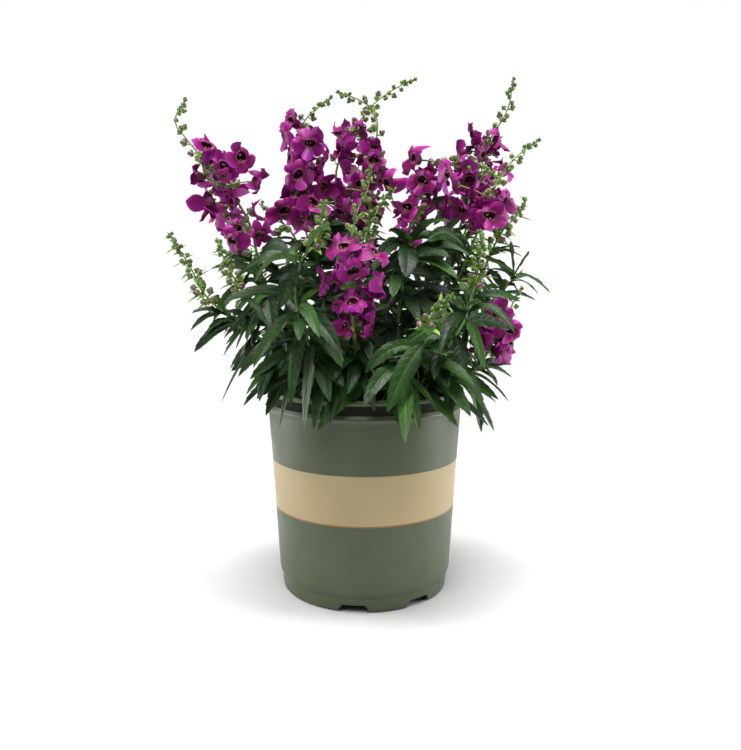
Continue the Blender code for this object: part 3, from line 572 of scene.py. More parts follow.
def plain_bud(bud, grow):
    """A three-sided drop."""
    root, tip, radius = bud["root"], bud["tip"], bud["radius"]
    axis = (tip - root).normalized()
    rings = []
    for share, thick in ((0.0, BUD_ROOT_RADIUS), (BUD_BULGE_AT, radius)):
        middle = root.lerp(tip, share)
        rings.append([middle + across(axis, math.tau / 3 * k) * (thick + grow)
                      for k in range(3)])
    return loft(rings, tip + axis * grow)


PLAIN_SHAPES = {"leaf": plain_leaf, "bloom": plain_bloom, "bud": plain_bud}
print("plain shapes:", ", ".join(PLAIN_SHAPES))

# %% Test a place
POT_HEIGHT = 171.0
LIP_RADIUS = 84.0
COLLAR_RADIUS = 80.2
COLLAR_BOTTOM = 160.0
BODY_FOOT_RADIUS = 73.3
FOOT_HEIGHT = 13.0
WALL = 1.6
POT_SIDES = 32
ROOT_POINTS = 3
MOST_CROSSINGS = 60

items = []


def pot_walls():
    """The pot's rim and the soil's top, as something that leaves must not enter."""
    outline = [(LIP_RADIUS + CLEAR, POT_HEIGHT), (LIP_RADIUS + CLEAR, COLLAR_BOTTOM),
               (BODY_FOOT_RADIUS, FOOT_HEIGHT), (0.0, FOOT_HEIGHT),
               (0.0, SOIL_MIDDLE), (COLLAR_RADIUS - WALL, SOIL_EDGE),
               (COLLAR_RADIUS - WALL, POT_HEIGHT)]
    verts, faces = [], []
    count = len(outline)
    for k in range(POT_SIDES):
        turn = math.tau * k / POT_SIDES
        for reach, height in outline:
            verts.append(Vector((reach * math.cos(turn), reach * math.sin(turn), height)))
        for i in range(count):
            a, b = k * count, (k + 1) % POT_SIDES * count
            faces.append((a + i, b + i, b + (i + 1) % count, a + (i + 1) % count))
    return BVHTree.FromPolygons(verts, faces)


walls = pot_walls()
stem_spots = np.array([tuple(point) for _, point, _ in stem_points])
stem_reach = np.array([[thick + CLEAR] for _, _, thick in stem_points])


def crossings(item):
    """How often an item crosses its own node's, or None if it is too near another node's."""
    verts, faces = PLAIN_SHAPES[item["kind"]](item, CLEAR)
    low = Vector([min(v[i] for v in verts) for i in range(3)])
    high = Vector([max(v[i] for v in verts) for i in range(3)])
    tree = BVHTree.FromPolygons(verts, faces)
    head = BVHTree.FromPolygons(verts, [f for f in faces if min(f) >= ROOT_POINTS])
    if tree.overlap(walls):
        return None
    beside = (np.array(low) - stem_reach < stem_spots) & (stem_spots < np.array(high) + stem_reach)
    for k in np.flatnonzero(beside.all(axis=1)):
        node, point, thick = stem_points[k]
        if node != item["node"] and tree.find_nearest(point, thick + CLEAR)[0] is not None:
            return None
    count = 0
    for other in items:
        if all(low[i] < other["high"][i] and other["low"][i] < high[i] for i in range(3)):
            if other["node"] != item["node"]:
                if tree.overlap(other["tree"]):
                    return None
            else:
                count += len(head.overlap(other["tree"])) + len(tree.overlap(other["head"]))
    item.update(low=low, high=high, tree=tree, head=head)
    return count


def place(tries, most=MOST_CROSSINGS):
    """Keeps the way to put an item that is clear of other nodes and crosses least."""
    best, least = None, most + 1
    for item in tries:
        count = crossings(item)
        if count is not None and count < least:
            best, least = item, count
        if least == 0:
            break
    if best is not None:
        items.append(best)


# %% [markdown]
# ## Setting the flowers, leaves and buds
# The order matters, because what is placed first has first choice. The flowers that the
# photograph shows come first, then the long leaves that hang over the rim, then the buds at each
# raceme's tip, and last the leaves that spiral up each stem.

# %% Open flowers
BLOOM_RADIUS = 13.0
BLOOM_SPREAD = (0.94, 1.06)
BLOOM_REACH = 11.0
BLOOM_TILT = (-0.25, 0.1)
LEAST_DEPTH = 3.0
SIDE_TURN = 0.5
FRONT_TURN = 3.0
# How far below a chosen flower its stalk starts, and how far from the raceme's two ends
BLOOM_DROP, RACEME_FOOT, RACEME_TIP = 5.0, 3.0, 12.0
BLOOM_SHARES = (1.0, 0.9, 0.8, 0.72)
PUSHES = (0, -3, 4, 8, 12)
SHIFTS = ((0, 0), (-3, 2), (3, -2), (0, 4), (0, -4))
# For the flowers round the back: where they start, how much of the raceme they leave free, how
# far they spread from straight back, how they look down, how high they stand and what is tried
BACK_START, BACK_FREE, BACK_SPREAD, BACK_TILT, BACK_LIFT = 8.0, 42.0, 0.9, -0.1, 4.0
BACK_SHARES = (1.0, 0.88, 0.75)
SWINGS = (0.0, 0.5, -0.5, 1.0, -1.0)


def bloom(name, root, middle, facing, radius):
    return {"kind": "bloom", "shoot": name, "node": "raceme_" + name, "root": root,
            "middle": middle, "facing": facing, "radius": radius}


def open_blooms(name, shoot):
    """The open flowers: those chosen on the front, then more round the back."""
    route, start = routes[name], raceme_start[name]
    draw = seeded(1, name)
    for x, z in shoot["blooms"]:
        along = min(route.reach(z - BLOOM_DROP), route.length - RACEME_TIP)
        root = route.at(max(start + RACEME_FOOT, along))
        lean = x - root.x
        deep = math.sqrt(max(BLOOM_REACH ** 2 - lean ** 2, LEAST_DEPTH ** 2))
        tilt = draw.uniform(*BLOOM_TILT)
        size = BLOOM_RADIUS * draw.uniform(*BLOOM_SPREAD)
        ahead = Vector((lean * SIDE_TURN, -deep - FRONT_TURN, 0.0)).normalized()
        facing = (ahead + UP * tilt).normalized()
        place([bloom(name, root, Vector((x + dx, root.y - deep - push, z + dz)), facing,
                     size * share)
               for share, push, (dx, dz) in itertools.product(BLOOM_SHARES, PUSHES, SHIFTS)])
    count = shoot["back"]
    span = route.length - start - BACK_FREE
    for k in range(count):
        root = route.at(start + BACK_START + span * (k + 0.5) / count)
        tries = []
        for share, swing in itertools.product(BACK_SHARES, SWINGS):
            turn = draw.uniform(0, 0.2) + k * GOLDEN_ANGLE + swing
            if shoot["blooms"]:
                turn = math.pi + BACK_SPREAD * math.sin(turn)
            facing = level(turn, BACK_TILT).normalized()
            middle = root + facing * BLOOM_REACH + UP * BACK_LIFT
            tries.append(bloom(name, root, middle, facing, BLOOM_RADIUS * share))
        place(tries)


for name, shoot in SHOOTS.items():
    open_blooms(name, shoot)
print("open flowers:", len(items))

# %% Long front leaves
# Where along its chord a leaf is highest, and which way its upper side looks: how much up, how
# much outward, and how much to the front
PEAK_AT = 0.45
LOOKS_UP, LOOKS_OUT, LOOKS_AHEAD = 0.6, 0.7, 0.3
# What is tried for a chosen leaf: to arch higher, to move in depth, then to end sooner
RISES = (0.0, 0.08, 0.16, 0.28)
DEPTH_PUSHES = (0, -4, 4, -8, -12, 8, 12)
SHORTER = (0.85, 0.7)
SHORTER_RISES = (0.0, 0.1, 0.25)


def leaf(name, base, tip, width, arch):
    """A leaf that arches up by a share of its length."""
    peak = base.lerp(tip, PEAK_AT) + UP * (tip - base).length * arch * 2
    outward = Vector((tip.x, tip.y, 0.0)).normalized()
    over = UP * LOOKS_UP + outward * LOOKS_OUT - Vector((0.0, LOOKS_AHEAD, 0.0))
    return {"kind": "leaf", "shoot": name, "node": "stem_" + plant_of[name], "base": base,
            "peak": peak, "tip": tip, "width": width, "over": over.normalized()}


def hang_leaf(name, height, tip, width, arch):
    """One of the chosen leaves, moved a little in depth if it has to be."""
    base, end = routes[name].at(routes[name].reach(height)), Vector(tip)
    tries = [leaf(name, base, end + Vector((0, push, 0)), width, arch + rise)
             for rise, push in itertools.product(RISES, DEPTH_PUSHES)]
    tries += [leaf(name, base, base.lerp(end, share), width * share, arch + rise)
              for share, rise in itertools.product(SHORTER, SHORTER_RISES)]
    for item in tries:
        item["hung"] = True
    place(tries)


for row in FRONT_LEAVES:
    hang_leaf(*row)
print("with the front leaves:", len(items))

# %% Buds up to each tip
BUD_SPACING = 9.5
FEWEST_BUDS = 3
BUD_RADIUS = (1.3, 2.7)
BUD_REACH = (4.5, 11.0)
BUD_STRETCH = 48.0
# How far from the raceme's two ends the buds start and stop, and how much they lean up
BUD_FOOT, BUD_TOP, BUD_LIFT = 5.0, 1.5, 0.7


def shrunk(sizes, share):
    """From the larger of two sizes to the smaller, as the share grows."""
    return sizes[1] + (sizes[0] - sizes[1]) * share


def bud(name, root, tip, radius):
    return {"kind": "bud", "shoot": name, "node": "raceme_" + name, "root": root, "tip": tip,
            "radius": radius}


def set_buds(name):
    """Buds up to the tip, smaller and closer to the stalk as they go."""
    route, shoot = routes[name], SHOOTS[name]
    draw = seeded(3, name)
    first = raceme_start[name] + BUD_FOOT
    if shoot["blooms"] or shoot["back"]:
        first = max(first, route.length - BUD_STRETCH)
    count = max(FEWEST_BUDS, int((route.length - first) / BUD_SPACING))
    for k in range(count):
        share = k / (count - 1)
        along = first + (route.length - first - BUD_TOP) * share
        root, axis = route.at(along), route.heading(along)
        tries = []
        for swing in SWINGS:
            out = across(axis, k * GOLDEN_ANGLE + swing + draw.uniform(-0.2, 0.2))
            lean = (out + axis * BUD_LIFT).normalized()
            tries.append(bud(name, root, root + lean * shrunk(BUD_REACH, share),
                             shrunk(BUD_RADIUS, share)))
        place(tries)


for name in RACEMES:
    set_buds(name)
print("with the buds:", len(items))

# %% Leaves that spiral up the stems
LEAF_SPACING = 25.0
LEAF_LENGTH = (46.0, 68.0)
LEAF_SPREAD = (0.88, 1.08)
BRANCH_LEAF = 0.6
LEAF_SLENDERNESS = 0.235
LEAF_ARCH = 0.2
FIRST_LEAF_ON_A_FORK = 12.0
ABOVE_RIM = 1.0
BELOW_RACEME = 3.0
TURN_SPREAD = 0.3
LOWEST_TIP = 152.0
# How far out a leaf's tip lies for its length, and how far it hangs down, more so lower down
OUT_SHARE = 0.88
DROOP = (-0.15, 0.3)
LOW_DROOP = 0.25
LEAF_SIZES = (1.0, 0.85, 0.7, 0.55)
LEAF_SWINGS = (0.0, 0.35, -0.35, 0.7, -0.7, 1.1, -1.1, 1.6, -1.6)
FALLS = (0.0, -0.25, 0.25)


def leaf_feet(name, lowest, free, spacing, first, first_turn, spread, draw):
    """Up a stem, for each leaf: the share of the way, its base, its full length and its turn."""
    route, end, main = routes[name], raceme_start[name], "crown" in SHOOTS[name]
    low = route.reach(lowest) if main else FIRST_LEAF_ON_A_FORK
    count = int((end - low) / spacing) + 1
    for k in range(count):
        share = (k + first) / count
        full = shrunk(LEAF_LENGTH, share)
        full *= draw.uniform(*spread) * (1.0 if main else BRANCH_LEAF)
        turn = first_turn + k * GOLDEN_ANGLE + draw.uniform(-TURN_SPREAD, TURN_SPREAD)
        yield share, route.at(low + (end - low - free) * share), full, turn


def grow_leaves(name):
    """Leaves in a spiral up the stem, long below and shorter to the raceme."""
    draw = seeded(7, name)
    for share, base, full, turn in leaf_feet(name, POT_HEIGHT + ABOVE_RIM, BELOW_RACEME,
                                             LEAF_SPACING, 0.5, 0.0, LEAF_SPREAD, draw):
        droop = draw.uniform(*DROOP) + LOW_DROOP * (1 - share)
        tries = []
        for size, swing, fall in itertools.product(LEAF_SIZES, LEAF_SWINGS, FALLS):
            length = full * size
            tip = base + level(turn + swing) * length * OUT_SHARE - UP * length * (droop + fall)
            if tip.z > LOWEST_TIP:
                tries.append(leaf(name, base, tip, length * LEAF_SLENDERNESS, LEAF_ARCH))
        place(tries, most=4)


for name in SHOOTS:
    grow_leaves(name)
print("with the spiral leaves:", len(items))

# %% [markdown]
# ## More than the solids hold
# The solids hold the flowers and leaves that give the plant its outline. The real plant is denser
# inside: half-open flowers stand between the open ones, side leaves fill the gaps, and in the
# corner between a leaf and the stem often sit short young leaves. They are tried in the
# same way, so they too stay clear of the neighbours. Flowers turn to the light, and few leaves
# stand in front of one. So a few points before each flower are added to what leaves stay clear of.

# %% Crowd the racemes with more flowers
# How far apart the flowers are tried, for each raceme that is fuller or thinner than usual
CROWD_SPACING = {"a": 14.0, "c": 3.0, "d": 8.0, "e": 7.0, "h": 4.0, "i": 2.6, "j": 2.6,
                 "p": 60.0}
FRONT_CROWD_SPACING = 5.0
BACK_CROWD_SPACING = 15.0
CROWD_RADIUS = (9.0, 12.0)
CROWD_REACH = (7.0, 13.5)
CROWD_TILT = (-0.5, 0.4)
CROWD_LIFT = (1.0, 6.0)
CROWD_OPENED = (0.35, 1.0)
CROWD_SHARES = (1.0, 0.85, 0.7, 0.58)
CROWD_SWINGS = (0.0, 0.6, -0.6, 1.2, -1.2, 1.9, -1.9, 2.6)
BELOW_LOWEST, BELOW_HIGHEST = 4.0, 1.0


def flower_places(name):
    """How far along its route each flower of a raceme is."""
    return [routes[name].nearest(item["root"]) for item in items
            if item["kind"] == "bloom" and item["shoot"] == name]


def crowd_blooms(name):
    """More flowers among a raceme's open ones, closer to its stalk, that face all ways."""
    opened_at = flower_places(name)
    if not opened_at:
        return
    draw = seeded(31, name)
    low, high = min(opened_at) - BELOW_LOWEST, max(opened_at) - BELOW_HIGHEST
    usual = FRONT_CROWD_SPACING if SHOOTS[name]["blooms"] else BACK_CROWD_SPACING
    count = int((high - low) / CROWD_SPACING.get(name, usual))
    for k in range(count):
        root = routes[name].at(low + (high - low) * (k + draw.random()) / count)
        radius, reach, tilt, opened = (draw.uniform(*span) for span in (
            CROWD_RADIUS, CROWD_REACH, CROWD_TILT, CROWD_OPENED))
        tries = []
        for share, swing in itertools.product(CROWD_SHARES, CROWD_SWINGS):
            out = level(k * GOLDEN_ANGLE + swing)
            middle = root + out * reach + UP * draw.uniform(*CROWD_LIFT)
            tries.append(bloom(name, root, middle, (out + UP * tilt).normalized(),
                               radius * share))
            tries[-1]["opened"] = opened
        place(tries, most=32)


for name in RACEMES:
    crowd_blooms(name)
print("with the crowding flowers:", len(items))

# %% Crowd the tips with more buds
BUD_GAP = 5.0
GREEN_BUD_GAP = 2.6
CROWD_BUD_REACH = (4.0, 9.5)
CROWD_BUD_RADIUS = (1.35, 2.7)
CROWD_BUD_LIFT = (0.3, 0.9)
FLOWER_BUD_GAP = 7.0
FLOWER_BUD_REACH = (9.0, 14.0)
FLOWER_BUD_RADIUS = (2.3, 3.3)
FLOWER_BUD_LIFT = (0.0, 0.7)
BUD_SWINGS = (0.0, 0.5, -0.5, 1.0, -1.0, 1.6, -1.6)
# Where the spirals of these buds start, so that they don't follow the others
FLOWER_BUD_TURN, CROWD_BUD_TURN = 2.0, 1.2
# How far the large buds go on below the lowest flower and above the highest, how far below the
# highest the spike starts, and how far above the raceme's foot where there are no flowers
BELOW_FLOWERS, ABOVE_FLOWERS, SPIKE_BELOW, SPIKE_FOOT = 2.0, 4.0, 8.0, 2.0


def try_bud(name, along, turn, lift, reach, radius, sizes, most):
    """Keeps one bud of a raceme, from a few turns about the stalk and a few sizes."""
    root, axis = routes[name].at(along), routes[name].heading(along)
    tries = []
    for size, swing in itertools.product(sizes, BUD_SWINGS):
        lean = (across(axis, turn + swing) + axis * lift).normalized()
        tries.append(bud(name, root, root + lean * reach * size, radius * size))
    place(tries, most)


def flower_buds(name, low, high, draw):
    """Large buds on long stalks among the open flowers."""
    for k in range(int((high - low) / FLOWER_BUD_GAP)):
        along = low + FLOWER_BUD_GAP * k
        reach, radius, lift = (draw.uniform(*span) for span in (
            FLOWER_BUD_REACH, FLOWER_BUD_RADIUS, FLOWER_BUD_LIFT))
        turn = FLOWER_BUD_TURN + k * GOLDEN_ANGLE
        try_bud(name, along, turn, lift, reach, radius, (1.0, 0.8), most=14)


def crowd_buds(name):
    """Buds among the flowers, and closer ones above them, so that the tip is a full spike."""
    draw = seeded(37, name)
    end, opened_at = routes[name].length, flower_places(name)
    low, gap = raceme_start[name] + SPIKE_FOOT, GREEN_BUD_GAP
    if opened_at:
        low, gap = max(opened_at) - SPIKE_BELOW, BUD_GAP
        flower_buds(name, min(opened_at) - BELOW_FLOWERS, max(opened_at) + ABOVE_FLOWERS, draw)
    count = int((end - low) / gap)
    for k in range(count):
        share = k / count
        along = low + (end - low) * share
        turn, lift = CROWD_BUD_TURN + k * GOLDEN_ANGLE, draw.uniform(*CROWD_BUD_LIFT)
        try_bud(name, along, turn, lift, shrunk(CROWD_BUD_REACH, share),
                shrunk(CROWD_BUD_RADIUS, share), (1.0,), most=7)


for name in RACEMES:
    crowd_buds(name)
print("with the crowding buds:", len(items))

# %% Keep the flowers in sight
# How far before each open flower the points lie, the way it faces and straight to the front
VIEW_STEPS = (9.0, 17.0, 26.0, 36.0)
FRONT_VIEW_STEPS = (9.0, 18.0, 27.0, 36.0, 45.0, 54.0, 63.0)
VIEW_RADIUS = 6.0
TO_THE_FRONT = Vector((0.0, -1.0, 0.1))

for item in items:
    if item["kind"] == "bloom" and "opened" not in item:
        sights = [item["facing"] * step for step in VIEW_STEPS]
        if item["facing"].y < 0.0:
            sights += [TO_THE_FRONT * step for step in FRONT_VIEW_STEPS]
        for sight in sights:
            stem_points.append(("a flower", item["middle"] + sight, VIEW_RADIUS))
stem_spots = np.array([tuple(point) for _, point, _ in stem_points])
stem_reach = np.array([[thick + CLEAR] for _, _, thick in stem_points])
print("points that the next leaves keep clear of:", len(stem_points))

# %% Fill the stems with more leaves
FILL_SPACING = 5.0
FILL_SPREAD = (0.8, 1.05)
FILL_SLENDERNESS = 0.23
FILL_ARCH = (0.02, 0.15)
FILL_FALL = (-0.5, 0.8)
FILL_TURN = 1.9
INTO_POT = 6.0
FILL_SIZES = (1.0, 0.85, 0.7, 0.55, 0.4)
FILL_SWINGS = (0.0, 0.4, -0.4, 0.9, -0.9, 1.5, -1.5, 2.2, -2.2)


def fill_leaves(name):
    """Leaves between the ones of the spiral, which hang more the lower they are."""
    draw = seeded(11, name)
    for share, base, full, turn in leaf_feet(name, POT_HEIGHT - INTO_POT, 0.0, FILL_SPACING, 0.3,
                                             FILL_TURN, FILL_SPREAD, draw):
        fall = draw.uniform(*FILL_FALL) + (1 - share)
        arch = draw.uniform(*FILL_ARCH)
        tries = []
        for size, swing in itertools.product(FILL_SIZES, FILL_SWINGS):
            length = full * size
            aim = level(turn + swing) * math.cos(fall) - UP * math.sin(fall)
            tries.append(leaf(name, base, base + aim * length, length * FILL_SLENDERNESS, arch))
        place(tries, most=16)


for name in SHOOTS:
    fill_leaves(name)
print("with the filling leaves:", len(items))

# %% Set young leaves in the leaf corners
YOUNG_LENGTH = (12.0, 24.0)
YOUNG_LIFT = (0.0, 0.9)
YOUNG_SHARE = 0.55
YOUNG_SLENDERNESS = 0.26
YOUNG_ARCH = 0.14
# What is tried, as (the turn from the leaf, the share of the length)
YOUNG_WAYS = ((0.8, 1.0), (1.3, 1.0), (0.4, 0.8), (1.0, 0.6))


def young_leaves():
    """Short leaves beside the feet of the others, on either side of some of them."""
    draw = seeded(13)
    for item in [item for item in items if item["kind"] == "leaf"]:
        base, out = item["base"], item["tip"] - item["base"]
        turn = math.atan2(out.x, -out.y)
        for side in (-1.0, 1.0):
            if draw.random() > YOUNG_SHARE:
                continue
            full, lift = draw.uniform(*YOUNG_LENGTH), draw.uniform(*YOUNG_LIFT)
            tries = []
            for swing, size in YOUNG_WAYS:
                aim = level(turn + side * swing, lift).normalized()
                tries.append(leaf(item["shoot"], base, base + aim * full * size,
                                  full * size * YOUNG_SLENDERNESS, YOUNG_ARCH))
                tries[-1]["young"] = True
            place(tries, most=8)


young_leaves()
print("with the young leaves:", len(items))

# %% [markdown]
# ## Small forms in one mesh
# Thousands of separate objects would be slow, so each stem's leaves are gathered in one mesh.
# Two kinds of closed form are enough for the whole plant. A blade is a grid of points above and
# one below, which share their outline: it makes leaves, sepals and bracts, and it is thin at its
# margin as a real leaf is. A body of rings runs from one pole to another: it makes stalks, buds
# and, with a ring that goes out and comes back, a flower with its pouch.
#
# Each point also carries a mark of three numbers that says where on its form it lies. The
# materials read the marks, so veins and throats follow each leaf and flower.

# %% Gather forms
UPRIGHT = np.array((0.0, 0.0, 1.0))


class Sculpture:
    """Gathers closed forms, and makes one mesh of them."""

    def __init__(self):
        self.points, self.marks, self.faces, self.slots, self.rims = [], [], [], [], []

    def add(self, points, marks, faces, slots, rim):
        """Faces are lists of point numbers. Slots gives each its material."""
        where = np.asarray(points)
        corners = [(where[f[0]], where[f[i]], where[f[i + 1]])
                   for f in faces for i in range(1, len(f) - 1)]
        a, b, c = (np.array(row) for row in zip(*corners))
        inside_out = np.einsum("ij,ij->", a - where[0], np.cross(b - where[0], c - where[0])) < 0
        start = len(self.points)
        self.points.extend(where.tolist())
        self.marks.extend(np.asarray(marks).tolist())
        for face in faces:
            row = [start + k for k in face]
            self.faces.append(row[::-1] if inside_out else row)
        self.slots.extend(slots)
        self.rims.extend(rim)

    def blade(self, top, under, across_it, along_it, tone, slots):
        """A grid of points above and one below that share their outline."""
        rows, columns = top.shape[:2]
        upper = np.arange(rows * columns).reshape(rows, columns)
        lower = upper.copy()
        inner = (rows - 2) * (columns - 2)
        lower[1:-1, 1:-1] = rows * columns + np.arange(inner).reshape(rows - 2, columns - 2)
        squares = list(itertools.product(range(rows - 1), range(columns - 1)))
        faces = [[upper[r, c], upper[r, c + 1], upper[r + 1, c + 1], upper[r + 1, c]]
                 for r, c in squares]
        faces += [[lower[r, c], lower[r + 1, c], lower[r + 1, c + 1], lower[r, c + 1]]
                  for r, c in squares]
        marks = np.empty(top.shape)
        marks[:, :, 0], marks[:, :, 1], marks[:, :, 2] = across_it, along_it, tone
        points, notes = (np.concatenate([whole.reshape(-1, 3), part[1:-1, 1:-1].reshape(-1, 3)])
                         for whole, part in ((top, under), (marks, marks)))
        rim = np.ones((rows, columns), bool)
        rim[1:-1, 1:-1] = False
        self.add(points, notes, faces, [slots[0]] * len(squares) + [slots[1]] * len(squares),
                 rim.ravel().tolist() + [False] * inner)

    def rings(self, first, rings, last, marks, slots, sharp=()):
        """A body of rings between two poles. Marks and slots go pole to pole, ring by ring."""
        count = len(rings[0])
        points = np.concatenate([[first], np.concatenate(rings), [last]])
        end = len(points) - 1
        at = [1 + k * count for k in range(len(rings))]
        faces, looks = [], []
        for k in range(count):
            after = (k + 1) % count
            faces.append([0, at[0] + after, at[0] + k])
            looks.append(slots[0])
            for j, (low, high) in enumerate(zip(at, at[1:])):
                faces.append([low + k, low + after, high + after, high + k])
                looks.append(slots[j + 1])
            faces.append([at[-1] + k, at[-1] + after, end])
            looks.append(slots[-1])
        rim = [False] * len(points)
        for j in sharp:
            rim[at[j]:at[j] + count] = [True] * count
        self.add(points, marks, faces, looks, rim)

    def make(self, name, slot, replaced, materials):
        """One object that rides on the body and stands for the solids that it replaces."""
        mesh = bpy.data.meshes.new(name)
        mesh.from_pydata((np.array(self.points) * MM).tolist(), [], self.faces)
        for paint in materials:
            mesh.materials.append(paint)
        mesh.polygons.foreach_set("material_index", self.slots)
        mesh.polygons.foreach_set("use_smooth", [True] * len(self.faces))
        mark = mesh.attributes.new("form", "FLOAT_VECTOR", "POINT")
        mark.data.foreach_set("vector", np.array(self.marks, np.float32).ravel())
        ends = np.empty(len(mesh.edges) * 2, np.int32)
        mesh.edges.foreach_get("vertices", ends)
        rim = np.array(self.rims)[ends.reshape(-1, 2)].all(axis=1)
        crease = mesh.attributes.new("sharp_edge", "BOOLEAN", "EDGE")
        crease.data.foreach_set("value", rim)
        piece = add_object(name, mesh)
        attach(piece, "root")
        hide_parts(*replaced)
        return piece


def unit(rows):
    return rows / np.linalg.norm(rows, axis=-1, keepdims=True)


def in_rows(directions, amounts):
    """The direction of each row, times a grid of amounts."""
    return directions[:, None, :] * amounts[:, :, None]


print("a sculpture starts with", len(Sculpture().points), "points")

# %% [markdown]
# ## Stalks
# A stalk is a tube of rings along a curve. Its rings turn as little as they can from one to the
# next, so the tube doesn't twist. The stems of this plant are slightly square, which the rings
# get from a small wave of four around them.

# %% Draw a stalk
STALK_STEP = 6.0
# A direction that no stalk runs along
ASKEW = (0.31, 0.9, 0.2)


def stalk(sculpture, points, radii, sides, slot, tone, square=0.0):
    """A tube of rings along a curve."""
    points = np.array([tuple(point) for point in points])
    axis = unit(np.gradient(points, axis=0))
    side = unit(np.cross(axis[0], ASKEW))
    turns = np.arange(sides) * math.tau / sides
    swell = 1.0 + square * np.cos(turns * 4.0)
    rings = []
    for middle, along, radius in zip(points, axis, radii):
        side = unit(side - along * side.dot(along))
        front = np.cross(along, side)
        spokes = np.outer(np.cos(turns), side) + np.outer(np.sin(turns), front)
        rings.append(middle + spokes * (radius * swell)[:, None])
    marks = np.empty((len(points) * sides + 2, 3))
    marks[:, 0] = np.concatenate([[0.0], np.tile(turns / math.tau, len(points)), [0.0]])
    marks[:, 1] = np.concatenate([[0.0], np.repeat(np.linspace(0.0, 1.0, len(points)), sides),
                                  [1.0]])
    marks[:, 2] = tone
    sculpture.rings(points[0], rings, points[-1], marks, [slot] * (len(points) + 1))


print("stalk step:", STALK_STEP, "mm")

# %% [markdown]
# ## Leaves
# An angelonia's leaf is long and narrow, folded a little along its midrib, and its margin has
# teeth that point to the tip. A grid of rows across the leaf can do all of it: the outline comes
# from a table of widths, each tooth takes two rows, and the fold, the wave of the margin and the
# twist are added to each row. Young leaves are too short for teeth, so a few rows do for them.

# %% Draw a leaf
LEAF_OUTLINE = ((0.0, 0.13), (0.06, 0.17), (0.12, 0.36), (0.2, 0.66), (0.3, 0.89), (0.42, 1.0),
                (0.56, 1.02), (0.7, 0.93), (0.82, 0.74), (0.91, 0.47), (0.97, 0.22), (1.0, 0.03))
LEAF_COLUMNS = np.array([-1.0, -0.6, -0.12, 0.0, 0.12, 0.6, 1.0])
YOUNG_COLUMNS = np.array([-1.0, -0.5, 0.0, 0.5, 1.0])
YOUNG_ROWS = (0.0, 0.1, 0.25, 0.45, 0.65, 0.84, 1.0)
TOOTH_SPACING = 5.2
TOOTH_DEPTH = 0.08
TOOTH_LEAN = 0.3
TOOTH_POINT = 0.8
FIRST_TOOTH = 0.17
LAST_TOOTH = 0.93
# How many leaves show their underside, and how far those and the others twist
TURNED_LEAVES = 0.22
TURNED_TWIST, TWIST = 1.5, 0.4
# How far a leaf bends sideways and sags for its length, and how steeply it folds
SWAY = 0.035
SAG = 0.12
FOLD = (0.1, 0.55)
ROUNDING = 0.1
# The waves of the margin: their height, how close they are, and how far one side is behind
WAVE_HEIGHT = (0.25, 0.9)
WAVE_COUNT = (9.0, 17.0)
WAVE_LAG = 1.3
# Half the blade's thickness, and the depth and half the width of the midrib's groove and ridge
BLADE_HALF = 0.17
GROOVE_DEPTH, GROOVE_HALF = 0.12, 0.08
RIDGE_AT_BASE, RIDGE_AT_TIP, RIDGE_HALF = 0.55, 0.1, 0.1
# A leaf is lighter if it is young, and lighter if its tip lies far out, which paints the leaves
# deep inside the plant darker as painted shade
LEAF_TONE = (0.0, 0.4)
INNER_REACH, OUTER_REACH = 35.0, 105.0
OUTER_PAINTED_LIGHT = 0.25
YOUNG_TONE = 0.3
LEAF_UPPER, LEAF_UNDER, STEM_SKIN = 0, 1, 2


def leaf_rows(length):
    """Where the rows lie along a leaf, how deep each is cut, and how far each leans on."""
    teeth = max(4, round(length * (LAST_TOOTH - FIRST_TOOTH) / TOOTH_SPACING))
    gap = (LAST_TOOTH - FIRST_TOOTH) / teeth
    rows = [(0.0, 0.0, 0.0), (0.05, 0.0, 0.0), (0.11, 0.0, 0.0)]
    for k in range(teeth):
        start = FIRST_TOOTH + gap * k
        rows += [(start, 1.0, 0.0), (start + gap * TOOTH_POINT, 0.0, gap * TOOTH_LEAN)]
    rows += [(LAST_TOOTH, 0.8, 0.0), (0.965, 0.0, 0.0), (1.0, 0.0, 0.0)]
    return np.array(rows).T


